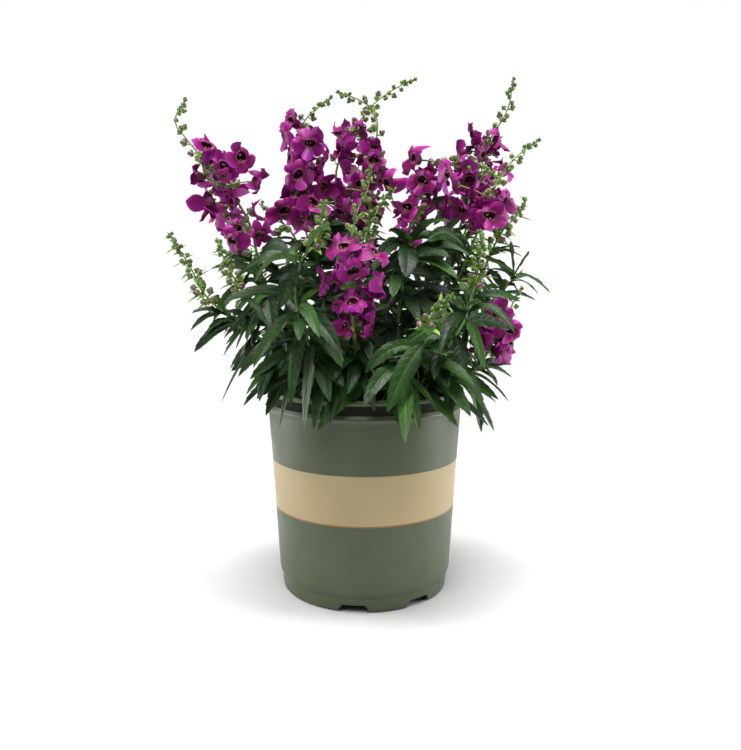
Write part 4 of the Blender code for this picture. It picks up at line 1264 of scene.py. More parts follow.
def draw_leaf(sculpture, item, root, draw):
    """A folded blade with teeth, which waves at its margin."""
    base, peak, tip, over = (np.array(v[:]) for v in (root, item["peak"], item["tip"],
                                                       item["over"]))
    length = np.linalg.norm(peak - base) + np.linalg.norm(tip - peak)
    young = item.get("young", False)
    along, cut, lean = leaf_rows(length)
    if young:
        along = np.array(YOUNG_ROWS)
        cut, lean = along * 0.0, along * 0.0
    t = along[:, None]
    u = (YOUNG_COLUMNS if young else LEAF_COLUMNS)[None, :]
    middle, heading = bent(base, peak, tip, t)
    heading = unit(heading)
    side = unit(np.cross(heading, over))
    rise = np.cross(side, heading)
    most = TURNED_TWIST if draw.random() < TURNED_LEAVES else TWIST
    twist = draw.uniform(-most, most) * t
    side, rise = (side * np.cos(twist) + rise * np.sin(twist),
                  rise * np.cos(twist) - side * np.sin(twist))
    sway = draw.uniform(-SWAY, SWAY) * length * np.sin(t * math.pi)
    sag = 0.0 if item.get("hung") or young else draw.uniform(0.0, SAG) * length
    middle = middle + side * sway - UPRIGHT * sag * t ** 3
    half = item["width"] / 2 * np.interp(along, *zip(*LEAF_OUTLINE))[:, None]
    reach = half * (1.0 - TOOTH_DEPTH * cut[:, None] * np.abs(u) ** 3) * u
    fold = draw.uniform(*FOLD)
    wave = draw.uniform(*WAVE_HEIGHT) * np.sin(t * draw.uniform(*WAVE_COUNT)
                                               + np.sign(u) * WAVE_LAG + draw.uniform(0.0, 6.0))
    lift = (half * (fold * np.abs(u) - ROUNDING * np.abs(u) ** 3)
            + wave * u ** 2 * np.sin(t * math.pi))
    surface = (middle[:, None, :] + in_rows(side, reach) + in_rows(rise, lift)
               + in_rows(heading, lean[:, None] * length * np.abs(u) ** 3))
    groove = GROOVE_DEPTH * np.exp(-(u / GROOVE_HALF) ** 2) * np.ones_like(t)
    ridge = (RIDGE_AT_BASE * (1.0 - t) + RIDGE_AT_TIP) * np.exp(-(u / RIDGE_HALF) ** 2)
    plump = BLADE_HALF * (1.0 - u ** 4) * np.ones_like(t)
    # Painted shade: the nearer a leaf's tip is to the plant's axis, the lower its tone, so the
    # darker and less yellow its green
    outward = (math.hypot(tip[0], tip[1]) - INNER_REACH) / (OUTER_REACH - INNER_REACH)
    tone = draw.uniform(*LEAF_TONE) + OUTER_PAINTED_LIGHT * min(max(outward, 0.0), 1.0)
    sculpture.blade(surface + in_rows(rise, plump - groove), surface - in_rows(rise, plump + ridge),
                    u, t, tone + YOUNG_TONE * young, (LEAF_UPPER, LEAF_UNDER))


print("widths in a leaf's outline:", len(LEAF_OUTLINE))

# %% [markdown]
# ## Flowers
# Each flower has two lips round a wide mouth, with a dark pouch behind it: two lobes stand above
# the mouth, two reach out at the sides, and a smaller one hangs below. It is made in one go as
# rings: from the bottom of the pouch out to the mouth, along the lobes to their margin, and back
# along the outside to the stalk. The ring at the margin is where front and back meet, so it is
# kept sharp. Every lobe leaves the mouth at its own slope, then bends back or forward, folds
# along its middle, ripples at its margin and leans to one side, so no two flowers are alike. A
# flower that is only half open bends its lobes forward into a cup, and most flowers that stand
# beside the stalk look away from it.

# %% Draw a flower
# How many spokes a lobe has in an open flower and in one of the crowd
LOBE_STEPS = {False: 10, True: 8}
# For each lobe: where its middle points, half its spread, its size, how steeply it leaves the
# mouth, and how far it bends from there
LOBES = ((60.0, 34.0, 0.98, (-0.15, 0.4), (-0.9, 0.2)),
         (122.0, 32.0, 0.98, (-0.15, 0.4), (-0.9, 0.2)),
         (197.0, 40.0, 1.06, (-0.1, 0.5), (-1.0, 0.1)),
         (269.0, 33.0, 0.96, (0.1, 0.7), (-1.1, 0.0)),
         (342.0, 41.0, 1.06, (-0.1, 0.5), (-1.0, 0.1)))
# How far out the cleft after each lobe ends
CLEFTS = (0.66, 0.5, 0.52, 0.52, 0.5)
LOBE_SQUARENESS = 2.4
# Rings inside the pouch and outside it, as (share of the radius, share of it in depth, mark)
POUCH_INSIDE = ((0.12, -0.28, 0.04), (0.24, -0.23, 0.12), (0.3, -0.12, 0.22), (0.27, -0.01, 0.32),
                (0.31, 0.05, 0.4))
POUCH_OUTSIDE = ((0.37, -0.12, 0.3), (0.33, -0.28, 0.2), (0.17, -0.4, 0.1))
LIMB_FRONT = (0.14, 0.38, 0.66, 0.88, 1.0)
LIMB_BACK = (0.86, 0.4)
# How deep the bottom of the pouch lies inside and outside, in radii
POUCH_BOTTOMS = (0.29, 0.43)
MOUTH_HEIGHT = 0.78
MOUTH_RISE = 0.05
CUP = 0.8
SHEET = 0.35
SWELL = 1.06
# The mark at the mouth's edge, from where it goes on to 1 at the margin
MOUTH_MARK = 0.42
# The ranges that each lobe's fold, ripple, twist, skew and size are drawn from
LOBE_FOLD, LOBE_RIPPLE, LOBE_TWIST = (-0.3, 0.3), (0.04, 0.13), (-0.45, 0.45)
LOBE_SKEW, LOBE_SIZE = (-0.22, 0.22), (0.74, 1.1)
# How many flowers look straight out, and how many of those beside the stalk look away from it
LOOKS = {"a": (0.1, 0.95), "c": (0.6, 0.45), "h": (0.85, 0.2), "n": (0.8, 0.1)}
USUAL_LOOKS = (0.32, 0.6)
# How far those that look straight out, the others and those that look away are turned aside
FULL_FACE = (0.0, 0.25)
TURNED_FACE = (0.4, 1.1)
BESIDE = 4.0
BESIDE_TURN = (0.3, 1.1)
BESIDE_SWING = 0.7
HEAD_LEAN = 0.35
# How much a full cup shrinks the lobes, and how far the mouth is off a circle two and three ways
CUP_SHRINK = 0.35
GAPE_TWO, GAPE_THREE = 0.12, 0.08
RIPPLES = 8.0
# Where the anthers lie aside, above and before the mouth's middle, and their size, in radii
ANTHER_PLACES = ((-0.17, 0.17), (0.0, 0.2), (-0.16, -0.04))
ANTHER_SIZE = (0.03, 0.065)
# Where the two ridges of the mouth's floor lie aside, how far below its middle, and their size
RIDGES_ASIDE, RIDGE_BELOW, RIDGE_SIZE = (-0.08, 0.07), (0.12, 0.18), (0.05, 0.09)
PETAL_FRONT, PETAL_BACK, ANTHER, TONGUE = 0, 1, 2, 3


def lobe_outline(steps):
    """For each spoke: its angle, its lobe, how far across the lobe, and its full reach."""
    spokes = []
    for k, (middle, half, size, _, _) in enumerate(LOBES):
        low = LOBES[k - 1][0] + LOBES[k - 1][1] - (360.0 if k == 0 else 0.0)
        for i in range(steps):
            share = math.sin(math.pi / 2 * (2.0 * i / steps - 1.0))
            cleft = CLEFTS[k - 1] if share < 0.0 else CLEFTS[k]
            angle = math.radians(low + (middle + half - low) * (share + 1.0) / 2)
            reach = cleft + (size - cleft) * math.sqrt(1.0 - abs(share) ** LOBE_SQUARENESS)
            spokes.append((angle, k, share, reach))
    return np.array(spokes).T


def turn_flower(item, draw):
    """Where a flower's right side, its top and its face look, once it is turned aside."""
    facing = item["facing"]
    side = UP.cross(facing).normalized()
    off_stalk = (item["middle"] - item["root"]).dot(side)
    full_faces, look_away = LOOKS.get(item["shoot"], USUAL_LOOKS)
    if abs(off_stalk) > BESIDE and draw.random() < look_away:
        turned = draw.uniform(*BESIDE_TURN)
        aside = draw.uniform(-BESIDE_SWING, BESIDE_SWING) + (math.pi if off_stalk < 0.0 else 0.0)
    else:
        turned = draw.uniform(*(FULL_FACE if draw.random() < full_faces else TURNED_FACE))
        aside = draw.uniform(0.0, math.tau)
    facing = (facing + (side * math.cos(aside) + UP * math.sin(aside)) * turned).normalized()
    side = UP.cross(facing).normalized()
    side, top, facing = (np.array(v[:]) for v in (side, facing.cross(side), facing))
    lean = draw.uniform(-HEAD_LEAN, HEAD_LEAN)
    return (side * math.cos(lean) + top * math.sin(lean),
            top * math.cos(lean) - side * math.sin(lean), facing)


def draw_bloom(sculpture, item, draw):
    """A flower's pouch and lobes, as rings from the bottom of the pouch out and back."""
    side, top, facing = turn_flower(item, draw)
    middle, radius = np.array(item["middle"][:]), item["radius"] * SWELL
    cup = (1.0 - item.get("opened", 1.0)) * CUP
    angle, lobe, share, outline = lobe_outline(LOBE_STEPS["opened" in item])
    lobe = lobe.astype(int)

    def each(*ranges):
        """A random number for each lobe, given to all its spokes."""
        return np.array([draw.uniform(*span) for span in ranges])[lobe]

    slope = each(*(row[3] for row in LOBES))
    bend = each(*(row[4] for row in LOBES)) + cup
    fold, ripple, phase, twist, skew, size = (each(*[span] * len(LOBES)) for span in (
        LOBE_FOLD, LOBE_RIPPLE, (0.0, 6.0), LOBE_TWIST, LOBE_SKEW, LOBE_SIZE))
    size = size * (1.0 - CUP_SHRINK * cup)
    mouth, mouth_depth = POUCH_INSIDE[-1][:2]
    inner = np.cos(share * math.pi / 2)
    full = mouth + (outline - mouth) * size
    gape = (1.0 + GAPE_TWO * np.sin(2 * angle + draw.uniform(0, 6))
            + GAPE_THREE * np.sin(3 * angle + draw.uniform(0, 6)))

    def spread(reach, depth, tall, turn, uneven):
        """The ring with this reach and depth, as tall as wide times the third number."""
        reach = reach * (1.0 + (gape - 1.0) * uneven)
        spokes = np.outer(np.cos(turn), side) + np.outer(np.sin(turn) * tall, top)
        lift = (1.0 - tall) / (1.0 - MOUTH_HEIGHT) * MOUTH_RISE
        depth = depth * np.ones_like(angle)
        return middle + radius * (spokes * reach[:, None] + np.outer(depth, facing) + top * lift)

    def limb(step, drop):
        """The ring at this share of the way from the mouth to the margin, and its mark."""
        reach = mouth + (full - mouth) * step
        wave = (bend + twist * share) * inner ** 0.5
        depth = mouth_depth + slope * inner ** 0.5 * step + wave * step ** 2.2
        depth += fold * (1.0 - np.abs(share)) * step
        depth += ripple * np.sin(share * RIPPLES + phase) * inner ** 0.3 * step ** 2
        reach = reach * (1.0 - 0.3 * np.clip(np.abs(wave), 0.0, 0.7) * step)
        tall = MOUTH_HEIGHT + (1.0 - MOUTH_HEIGHT) * step ** 0.7
        ring = spread(reach, depth - drop, tall, angle + skew * inner * step, 1.0 - step)
        return ring, MOUTH_MARK + (1.0 - MOUTH_MARK) * step

    inside, outside = ([(spread(reach, depth, MOUTH_HEIGHT, angle, 1.0), mark)
                        for reach, depth, mark in pouch] for pouch in (POUCH_INSIDE, POUCH_OUTSIDE))
    front = [limb(step, 0.0) for step in LIMB_FRONT]
    back = [limb(step, SHEET / radius) for step in LIMB_BACK]
    rows = inside + front + back + outside
    first, last = (middle - facing * radius * depth + top * radius * MOUTH_RISE
                   for depth in POUCH_BOTTOMS)
    tone = draw.uniform(0.0, 1.0)
    marks = [(0.0, 0.0, tone)]
    for _, mark in rows:
        marks += [(mark, up, tone) for up in np.sin(angle)]
    marks.append((0.0, 0.0, tone))
    edge = len(inside) + len(front) - 1
    slots = [PETAL_FRONT] * (edge + 1) + [PETAL_BACK] * (len(rows) - edge)
    sculpture.rings(first, [ring for ring, _ in rows], last, marks, slots, (edge,))
    fill_mouth(sculpture, middle, radius, side, top, facing, tone, draw)


def fill_mouth(sculpture, middle, radius, side, top, facing, tone, draw):
    """A few anthers at the top of the mouth, and the two ridges of its floor."""
    for _ in range(draw.choice((1, 2, 2, 3))):
        aside, above, before = (draw.uniform(*span) for span in ANTHER_PLACES)
        centre = middle + radius * (side * aside + top * above + facing * before)
        size = radius * draw.uniform(*ANTHER_SIZE)
        pebble(sculpture, centre, facing, top, size, size * 1.3, 6, 4, ANTHER, tone)
    for aside in RIDGES_ASIDE:
        root = middle + radius * (side * aside - top * draw.uniform(*RIDGE_BELOW))
        pebble(sculpture, root, unit(top * 0.5 + facing), side, RIDGE_SIZE[0] * radius,
               RIDGE_SIZE[1] * radius, 6, 4, TONGUE, tone)


def pebble(sculpture, centre, axis, front, radius, half_length, sides, rows, slot, tone,
           point=0.0):
    """A rounded body along an axis, with a more or less pointed tip."""
    other = np.cross(axis, front)
    turns = np.arange(sides) * math.tau / sides
    spokes = np.outer(np.cos(turns), front) + np.outer(np.sin(turns), other)
    rings, marks = [], [(0.0, 0.0, tone)]
    for j in range(rows):
        swing = math.pi * (j + 1) / (rows + 1)
        share = (1.0 - math.cos(swing)) / 2
        thick = math.sin(swing) * (1.0 - point * share ** 2)
        rings.append(centre + axis * half_length * (share * 2 - 1) + spokes * radius * thick)
        marks += [(turn / math.tau, share, tone) for turn in turns]
    marks.append((0.0, 1.0, tone))
    sculpture.rings(centre - axis * half_length, rings, centre + axis * half_length, marks,
                    [slot] * (rows + 1))


print("spokes in an open flower:", len(LOBES) * LOBE_STEPS[False])

# %% [markdown]
# ## Buds, sepals and bracts
# A bud is a small round body held in five pointed sepals, on a short stalk with a narrow bract
# below it. The flowers have the same sepals behind their pouch. Near the tip of a raceme the buds
# are only a millimetre or two across and crowd together.

# %% Draw the green parts
SLIVER_ROWS = np.array([0.0, 0.3, 0.7, 1.0])
SLIVER_WIDTHS = np.array([0.5, 1.0, 0.75, 0.03])
SLIVER_COLUMNS = np.array([-1.0, -0.35, 0.35, 1.0])
SLIVER_HALF = 0.14
SLIVER_FOLD = 0.35
# A direction that no bud's axis runs along
ASLANT = (0.23, 0.31, 0.92)
# How far along a bud its sepals start and its bulge is, and half the bulge's length
NECK_AT, BULGE_AT, BULGE_HALF = 0.42, 0.72, 0.3
# How thick the stalks of a bud and of a flower are on their way out
BUD_STALK, FLOWER_STALK = [0.36, 0.32, 0.45], [0.62, 0.55, 0.5, 0.5, 0.55, 0.75]
# The radius of the greenest buds, which is also how much more the ripest have
GREENEST = 1.3
BRACT_LENGTH, BRACT_RISE = (3.0, 7.0), (-1.5, 1.0)
BRACT_WIDTH, BRACT_BOW = 0.3, 0.8
FLOWER_BRACT = 1.2
# How far a flower's stalk bows up and back, and how wide its sepals are
STALK_BOW, SEPAL_WIDTH = 1.5, 2.3
TIP_BUDS = 12
STALK_SKIN, BUD_SKIN, SEPAL_SKIN = 0, 1, 2


def sliver(sculpture, base, peak, tip, width, over, tone):
    """A small pointed blade, such as a sepal or a bract."""
    t, u = SLIVER_ROWS[:, None], SLIVER_COLUMNS[None, :]
    middle, heading = bent(base, peak, tip, t)
    side = unit(np.cross(unit(heading), over))
    rise = np.cross(side, unit(heading))
    half = width / 2 * SLIVER_WIDTHS[:, None]
    surface = (middle[:, None, :] + in_rows(side, half * u)
               + in_rows(rise, half * SLIVER_FOLD * u ** 2))
    plump = in_rows(rise, SLIVER_HALF * (1.0 - u ** 4) * np.ones_like(t))
    sculpture.blade(surface + plump, surface - plump, u, t, tone, (SEPAL_SKIN, SEPAL_SKIN))


def sepals(sculpture, base, axis, front, spread, length, width, tone):
    """Five sepals round an axis, which open to the given radius."""
    other = np.cross(axis, front)
    for k in range(5):
        turn = math.tau * (k + 0.5) / 5
        out = front * math.cos(turn) + other * math.sin(turn)
        peak = base + axis * length * 0.35 + out * spread * 1.25
        tip = base + axis * length + out * spread
        sliver(sculpture, base + out * 0.4, peak, tip, width, out, tone)


def bract(sculpture, root, lean, scale, draw):
    """The narrow leaf below a flower's or a bud's stalk."""
    length = draw.uniform(*BRACT_LENGTH) * scale
    tip = root + lean * length + UPRIGHT * draw.uniform(*BRACT_RISE)
    over = UPRIGHT + lean * 0.2
    peak = (root + tip) / 2 + UPRIGHT * BRACT_BOW
    sliver(sculpture, root, peak, tip, length * BRACT_WIDTH, over, draw.uniform(0.2, 1.0))


def draw_bud(sculpture, item, root, draw):
    """A bud on its stalk, held in its sepals."""
    root, tip, radius = np.array(root[:]), np.array(item["tip"][:]), item["radius"]
    axis = unit(tip - root)
    length = np.linalg.norm(tip - root)
    front = unit(np.cross(axis, ASLANT))
    neck = root + axis * length * NECK_AT
    bulge = root + axis * (length * BULGE_AT)
    tone = min(max((radius - GREENEST) / GREENEST + draw.uniform(-0.3, 0.2), 0.0), 1.0)
    stalk(sculpture, [root, root + axis * length * 0.2, neck + axis * 0.4], BUD_STALK, 5,
          STALK_SKIN, tone)
    pebble(sculpture, bulge, axis, front, radius * 0.98, length * BULGE_HALF, 9, 5, BUD_SKIN, tone,
           0.3)
    sepals(sculpture, neck, axis, front, radius * 1.02, length * 0.33, radius * 1.1, tone)
    leafy = 0.6 + radius * (0.2 if any(SHOOTS[item["shoot"]]["blooms"]) else 0.75)
    bract(sculpture, root, unit(axis - UPRIGHT * 0.5), leafy, draw)


def draw_calyx(sculpture, item, root, draw):
    """The stalk, bract and sepals that hold a flower."""
    facing, middle = np.array(item["facing"][:]), np.array(item["middle"][:])
    root, radius = np.array(root[:]), item["radius"]
    top = unit(np.cross(facing, np.cross(UPRIGHT, facing)))
    end = middle - facing * radius * POUCH_BOTTOMS[1]
    bow = (root + end) / 2 + UPRIGHT * STALK_BOW - facing * STALK_BOW
    tone = draw.uniform(0.0, 1.0)
    points = [bent(root, bow, end, t)[0] for t in np.linspace(0, 1, 6)]
    stalk(sculpture, points, FLOWER_STALK, 6, STALK_SKIN, tone)
    sepals(sculpture, end - facing * 0.3, facing, top, radius * 0.3, radius * 0.36, SEPAL_WIDTH,
           tone)
    bract(sculpture, root, unit(end - root), FLOWER_BRACT, draw)


def tip_cluster(sculpture, route, draw):
    """The crowded small buds at the very tip of a raceme, larger and farther out lower down."""
    end, axis = (np.array(v[:]) for v in (route.at(route.length), route.heading(route.length)))
    front = unit(np.cross(axis, ASLANT))
    other = np.cross(axis, front)
    for k in range(TIP_BUDS):
        turn = k * GOLDEN_ANGLE
        out = front * math.cos(turn) + other * math.sin(turn)
        lean = unit(out * (0.35 + 0.05 * k) + axis)
        size = 0.75 + 0.04 * k
        centre = end - axis * (k - 1.0) + out * (0.5 + 0.1 * k)
        pebble(sculpture, centre, lean, unit(np.cross(lean, other)), size, size * 1.35, 7, 4,
               BUD_SKIN, draw.uniform(0.0, 0.35), 0.4)
        if k % 3 == 0:
            sliver(sculpture, centre - lean * size, centre + out * size * 1.6,
                   centre + lean * size * 2.2, size * 1.7, out, draw.uniform(0.3, 1.0))


print("buds at each very tip:", TIP_BUDS)

# %% [markdown]
# ## Effects that several finishes share
# Living things are never one flat colour, and neither is moulded plastic. Three node groups do
# most of the work. Mottle gives a soft brightness that drifts over the surface. Veins draws a
# midrib and side veins from a leaf's marks. Grain gives a fine height for a bump.

# %% Build node groups
NUMBER, VECTOR = "NodeSocketFloat", "NodeSocketVector"


def put(tree, kind, inputs=None, **settings):
    """Adds a node. Each input is a plain value, or a socket to be linked from."""
    made = tree.nodes.new(kind)
    for key, value in settings.items():
        setattr(made, key, value)
    for key, value in (inputs or {}).items():
        if isinstance(value, bpy.types.NodeSocket):
            tree.links.new(value, made.inputs[key])
        else:
            made.inputs[key].default_value = value
    return made


def sums(tree, operation, *values):
    """The result of an operation on numbers."""
    return put(tree, "ShaderNodeMath", dict(enumerate(values)), operation=operation).outputs[0]


def times(tree, *values):
    return sums(tree, "MULTIPLY", *values)


def step_up(tree, value, low, high):
    """0 below low, 1 above high and smooth between them."""
    ramp = put(tree, "ShaderNodeMapRange", {"Value": value, "From Min": low, "From Max": high},
               interpolation_type="SMOOTHSTEP")
    return ramp.outputs["Result"]


def step_down(tree, value, low, high):
    """1 below low, 0 above high and smooth between them."""
    return sums(tree, "SUBTRACT", 1.0, step_up(tree, value, low, high))


def blend_colours(tree, share, a, b):
    made = put(tree, "ShaderNodeMix", {0: share, 6: a, 7: b}, data_type="RGBA")
    return made.outputs[2]


def brighten(tree, colour, amount):
    """A colour times a brightness."""
    if isinstance(colour, tuple):
        colour = colour[:3]
    made = put(tree, "ShaderNodeVectorMath", {0: colour, "Scale": amount}, operation="SCALE")
    return made.outputs["Vector"]


def parts_of(tree, vector):
    """The X, the Y and the Z of a vector."""
    return put(tree, "ShaderNodeSeparateXYZ", {"Vector": vector}).outputs


def new_group(name, inputs, outputs):
    """A group with its input sockets and the node that takes its results."""
    group = bpy.data.node_groups.new(name, "ShaderNodeTree")
    for way, sockets in (("INPUT", inputs), ("OUTPUT", outputs)):
        for label, kind in sockets:
            group.interface.new_socket(label, in_out=way, socket_type=kind)
    return group, group.nodes.new("NodeGroupInput").outputs, group.nodes.new("NodeGroupOutput")


def own_place(tree):
    return put(tree, "ShaderNodeTexCoord").outputs["Object"]


def mottled(tree, scale, darkest=0.0, brightest=1.0):
    """A number that drifts over the surface between two others."""
    return put(tree, "ShaderNodeGroup", {"Place": own_place(tree), "Scale": scale,
                                         "Darkest": darkest, "Brightest": brightest},
               node_tree=mottle).outputs["Brightness"]


def grained(tree, scale):
    """A fine height."""
    return put(tree, "ShaderNodeGroup", {"Place": own_place(tree), "Scale": scale},
               node_tree=grain).outputs["Height"]


mottle, given, out = new_group("Mottle", [("Place", VECTOR), ("Scale", NUMBER),
                                          ("Darkest", NUMBER), ("Brightest", NUMBER)],
                               [("Brightness", NUMBER)])
cloud = put(mottle, "ShaderNodeTexNoise", {"Vector": given["Place"], "Scale": given["Scale"],
                                           "Detail": 3.0, "Roughness": 0.55})
spread_out = put(mottle, "ShaderNodeMapRange", {"Value": cloud.outputs["Fac"], "From Min": 0.3,
                                                "From Max": 0.7, "To Min": given["Darkest"],
                                                "To Max": given["Brightest"]})
mottle.links.new(spread_out.outputs["Result"], out.inputs["Brightness"])

grain, given, out = new_group("Grain", [("Place", VECTOR), ("Scale", NUMBER)],
                              [("Height", NUMBER)])
fine = put(grain, "ShaderNodeTexNoise", {"Vector": given["Place"], "Scale": given["Scale"],
                                         "Detail": 2.0})
grain.links.new(fine.outputs["Fac"], out.inputs["Height"])

veins, given, out = new_group("Veins", [("Mark", VECTOR), ("Pairs", NUMBER), ("Slant", NUMBER)],
                              [("Midrib", NUMBER), ("Side", NUMBER)])
across_leaf, along_leaf, _ = parts_of(veins, given["Mark"])
off_middle = sums(veins, "ABSOLUTE", across_leaf)
rib_width = sums(veins, "MULTIPLY_ADD", along_leaf, -0.06, 0.11)
rib = step_down(veins, sums(veins, "DIVIDE", off_middle, rib_width), 0.45, 1.0)
veins.links.new(rib, out.inputs["Midrib"])
row = sums(veins, "SUBTRACT", times(veins, along_leaf, given["Pairs"]),
           times(veins, off_middle, given["Slant"]))
line = step_down(veins, sums(veins, "PINGPONG", row, 0.5), 0.02, 0.17)
faded = times(veins, line, step_down(veins, off_middle, 0.55, 0.98))
veins.links.new(faded, out.inputs["Side"])
print("node groups:", len(bpy.data.node_groups))

# %% [markdown]
# ## Leaf green
# Seen from above a leaf is dark green with a satin skin, which is why the studio's lamps lie on
# it as soft grey-green patches. Its midrib is pale, and its side veins show mostly as shallow
# furrows. The underside is paler and dull. Young leaves are a lighter, yellower green. The third
# number of a leaf's mark is its own tone: no two leaves match, young leaves get more of it, and a
# leaf whose tip lies far out gets more too, so it is painted lighter and yellower. The leaves deep
# inside the plant are painted darkest, a painted shade for the shade that falls there.

# %% Paint the leaves
LEAF_SHINE = 0.27
VEIN_PAIRS, VEIN_SLANT = 9.0, 1.1
# How much of the rib's colour the side veins have, and how much deeper the midrib is than they
SIDE_SHARE = 0.08
MIDRIB_DEPTH = 1.4
# The brightness of the darkest leaf, and how much a tone of 1 adds
LEAF_DARKEST, LEAF_BRIGHTER = 0.3, 0.8


def linear(red, green, blue):
    """A screen colour from 0 to 255, as the linear colour that a shader wants."""
    return tuple(((c / 255 + 0.055) / 1.055) ** 2.4 for c in (red, green, blue)) + (1.0,)


def form_mark(tree):
    return put(tree, "ShaderNodeAttribute", attribute_name="form").outputs["Vector"]


def bump(tree, shader, height, strength, distance):
    made = put(tree, "ShaderNodeBump", {"Height": height, "Strength": strength,
                                        "Distance": distance})
    tree.links.new(made.outputs["Normal"], shader.inputs["Normal"])


def leaf_paint(name, old, fresh, young, rib_colour, rib_share, rough, relief):
    """Relief is the height of the veins: below 0 they are furrows."""
    paint, tree, shader = new_paint(name, rough, LEAF_SHINE)
    mark = form_mark(tree)
    tone = parts_of(tree, mark)["Z"]
    vein = put(tree, "ShaderNodeGroup", {"Mark": mark, "Pairs": VEIN_PAIRS, "Slant": VEIN_SLANT},
               node_tree=veins).outputs
    green = blend_colours(tree, mottled(tree, 70.0), old, fresh)
    # The tone turns the green yellower: for young leaves, and as painted light for leaves far out
    green = blend_colours(tree, step_up(tree, tone, 0.3, 0.95), green, young)
    for rib, share in (("Side", SIDE_SHARE), ("Midrib", rib_share)):
        green = blend_colours(tree, times(tree, vein[rib], share), green, rib_colour)
    # The tone brightens the green: at random, for young leaves, and as painted light and shade by
    # how far out the leaf lies
    green = brighten(tree, green, sums(tree, "MULTIPLY_ADD", tone, LEAF_BRIGHTER, LEAF_DARKEST))
    tree.links.new(green, shader.inputs["Base Color"])
    tree.links.new(mottled(tree, 190.0, rough - 0.06, rough + 0.1), shader.inputs["Roughness"])
    furrows = sums(tree, "ADD", vein["Side"], times(tree, vein["Midrib"], MIDRIB_DEPTH))
    height = sums(tree, "MULTIPLY_ADD", furrows, relief, grained(tree, 1400.0))
    bump(tree, shader, height, 0.35, 0.0004)
    return paint


def finish_green(tree, shader, green, scale, darkest, brightest, hairs):
    """Gives a green drifting brightness and fine hairs."""
    drifting = brighten(tree, green, mottled(tree, scale, darkest, brightest))
    tree.links.new(drifting, shader.inputs["Base Color"])
    bump(tree, shader, grained(tree, hairs), 0.3, 0.0003)


leaf_upper = leaf_paint("leaf_upper", linear(20, 44, 18), linear(46, 82, 34),
                        linear(74, 124, 42), linear(112, 150, 86), 0.34, 0.4, -1.2)
leaf_under = leaf_paint("leaf_under", linear(66, 98, 52), linear(96, 130, 74),
                        linear(100, 144, 64), linear(134, 162, 106), 0.6, 0.55, 1.6)

stem_skin, tree, shader = new_paint("stem_skin", 0.45)
up_stem = parts_of(tree, form_mark(tree))["Y"]
green = blend_colours(tree, step_up(tree, up_stem, 0.0, 0.8), linear(118, 132, 70),
                      linear(104, 142, 66))
finish_green(tree, shader, green, 120.0, 0.72, 1.15, 1800.0)
print("leaf paints:", leaf_upper.name, leaf_under.name, stem_skin.name)

# %% [markdown]
# ## Petal purple
# A flower's lobes are a strong magenta purple with a velvety skin. The first number of a flower's
# mark runs from 0 at the bottom of the pouch to 1 at the margin, so one colour ramp paints it
# from the black throat to the light margin, which is partly a paler edge of the petal and partly
# a painted highlight. The second number says how far up the flower a point lies: above the mouth
# runs a pale arch, a painted highlight where the top of the mouth catches the light, the lowest
# lobe is more violet in some flowers, and the floor of the throat is sprinkled with yellow green.
# A petal is dull, so it reflects little.

# %% Paint the petals
PETAL_SHINE = 0.3
VELVET = 1500.0


def colour_ramp(tree, value, stops):
    """Colours along a value, from a list of (place, colour)."""
    ramp = put(tree, "ShaderNodeValToRGB", {"Fac": value})
    table = ramp.color_ramp.elements
    for _ in stops[2:]:
        table.new(0.5)
    for stop, (place_on_ramp, colour) in zip(table, stops):
        stop.position = place_on_ramp
        stop.color = colour
    return ramp.outputs["Color"]


def petal_paint(name, stops):
    """The ramp, the pale arch's painted highlight, the violet lobe, the brightness, the throat's
    dots.
    """
    paint, tree, shader = new_paint(name, 0.5, PETAL_SHINE)
    outward, upward, tone = parts_of(tree, form_mark(tree))
    streaked = sums(tree, "ADD", outward, mottled(tree, 300.0, -0.03, 0.03))
    purple = colour_ramp(tree, streaked, stops)
    # Painted highlight: a pale arch just outside the mouth, on the flower's upper side, where it
    # catches the light
    arch = sums(tree, "SUBTRACT", step_up(tree, outward, 0.36, 0.42),
                step_up(tree, outward, 0.45, 0.56))
    arch = times(tree, step_up(tree, upward, 0.3, 0.95), arch)
    purple = blend_colours(tree, times(tree, arch, 0.6), purple, linear(196, 110, 176))
    below = sums(tree, "MULTIPLY_ADD", step_down(tree, upward, -0.98, -0.62), 0.22, 0.1)
    violet = times(tree, below, step_up(tree, tone, 0.25, 1.0))
    violet = times(tree, violet, step_up(tree, outward, 0.42, 0.6))
    purple = blend_colours(tree, violet, purple, linear(104, 26, 150))
    shade = times(tree, mottled(tree, 120.0, 0.8, 1.15),
                  sums(tree, "MULTIPLY_ADD", tone, 0.16, 1.0))
    purple = brighten(tree, purple, shade)
    dots = times(tree, step_up(tree, grained(tree, VELVET), 0.54, 0.66),
                 step_down(tree, outward, 0.3, 0.43))
    low = sums(tree, "MULTIPLY_ADD", step_down(tree, upward, -0.7, 0.4), 0.5, 0.1)
    purple = blend_colours(tree, times(tree, dots, low), purple, linear(160, 132, 92))
    tree.links.new(purple, shader.inputs["Base Color"])
    bump(tree, shader, grained(tree, VELVET), 0.3, 0.0003)
    return paint


def speckled_paint(name, roughness, dark, light, scale):
    """Two colours in small patches."""
    paint, tree, shader = new_paint(name, roughness)
    patches = blend_colours(tree, mottled(tree, scale), dark, light)
    tree.links.new(patches, shader.inputs["Base Color"])
    return paint, tree, shader


# The lighter last stop at the margin is partly the petal's own paler edge and partly a painted
# highlight
petal_front = petal_paint("petal_front", [
    (0.0, linear(62, 10, 40)), (0.28, linear(84, 12, 52)), (0.37, linear(104, 12, 66)),
    (0.43, linear(136, 24, 100)), (0.52, linear(110, 6, 70)), (0.74, linear(150, 12, 116)),
    (0.95, linear(162, 26, 138)), (1.0, linear(178, 66, 154))])
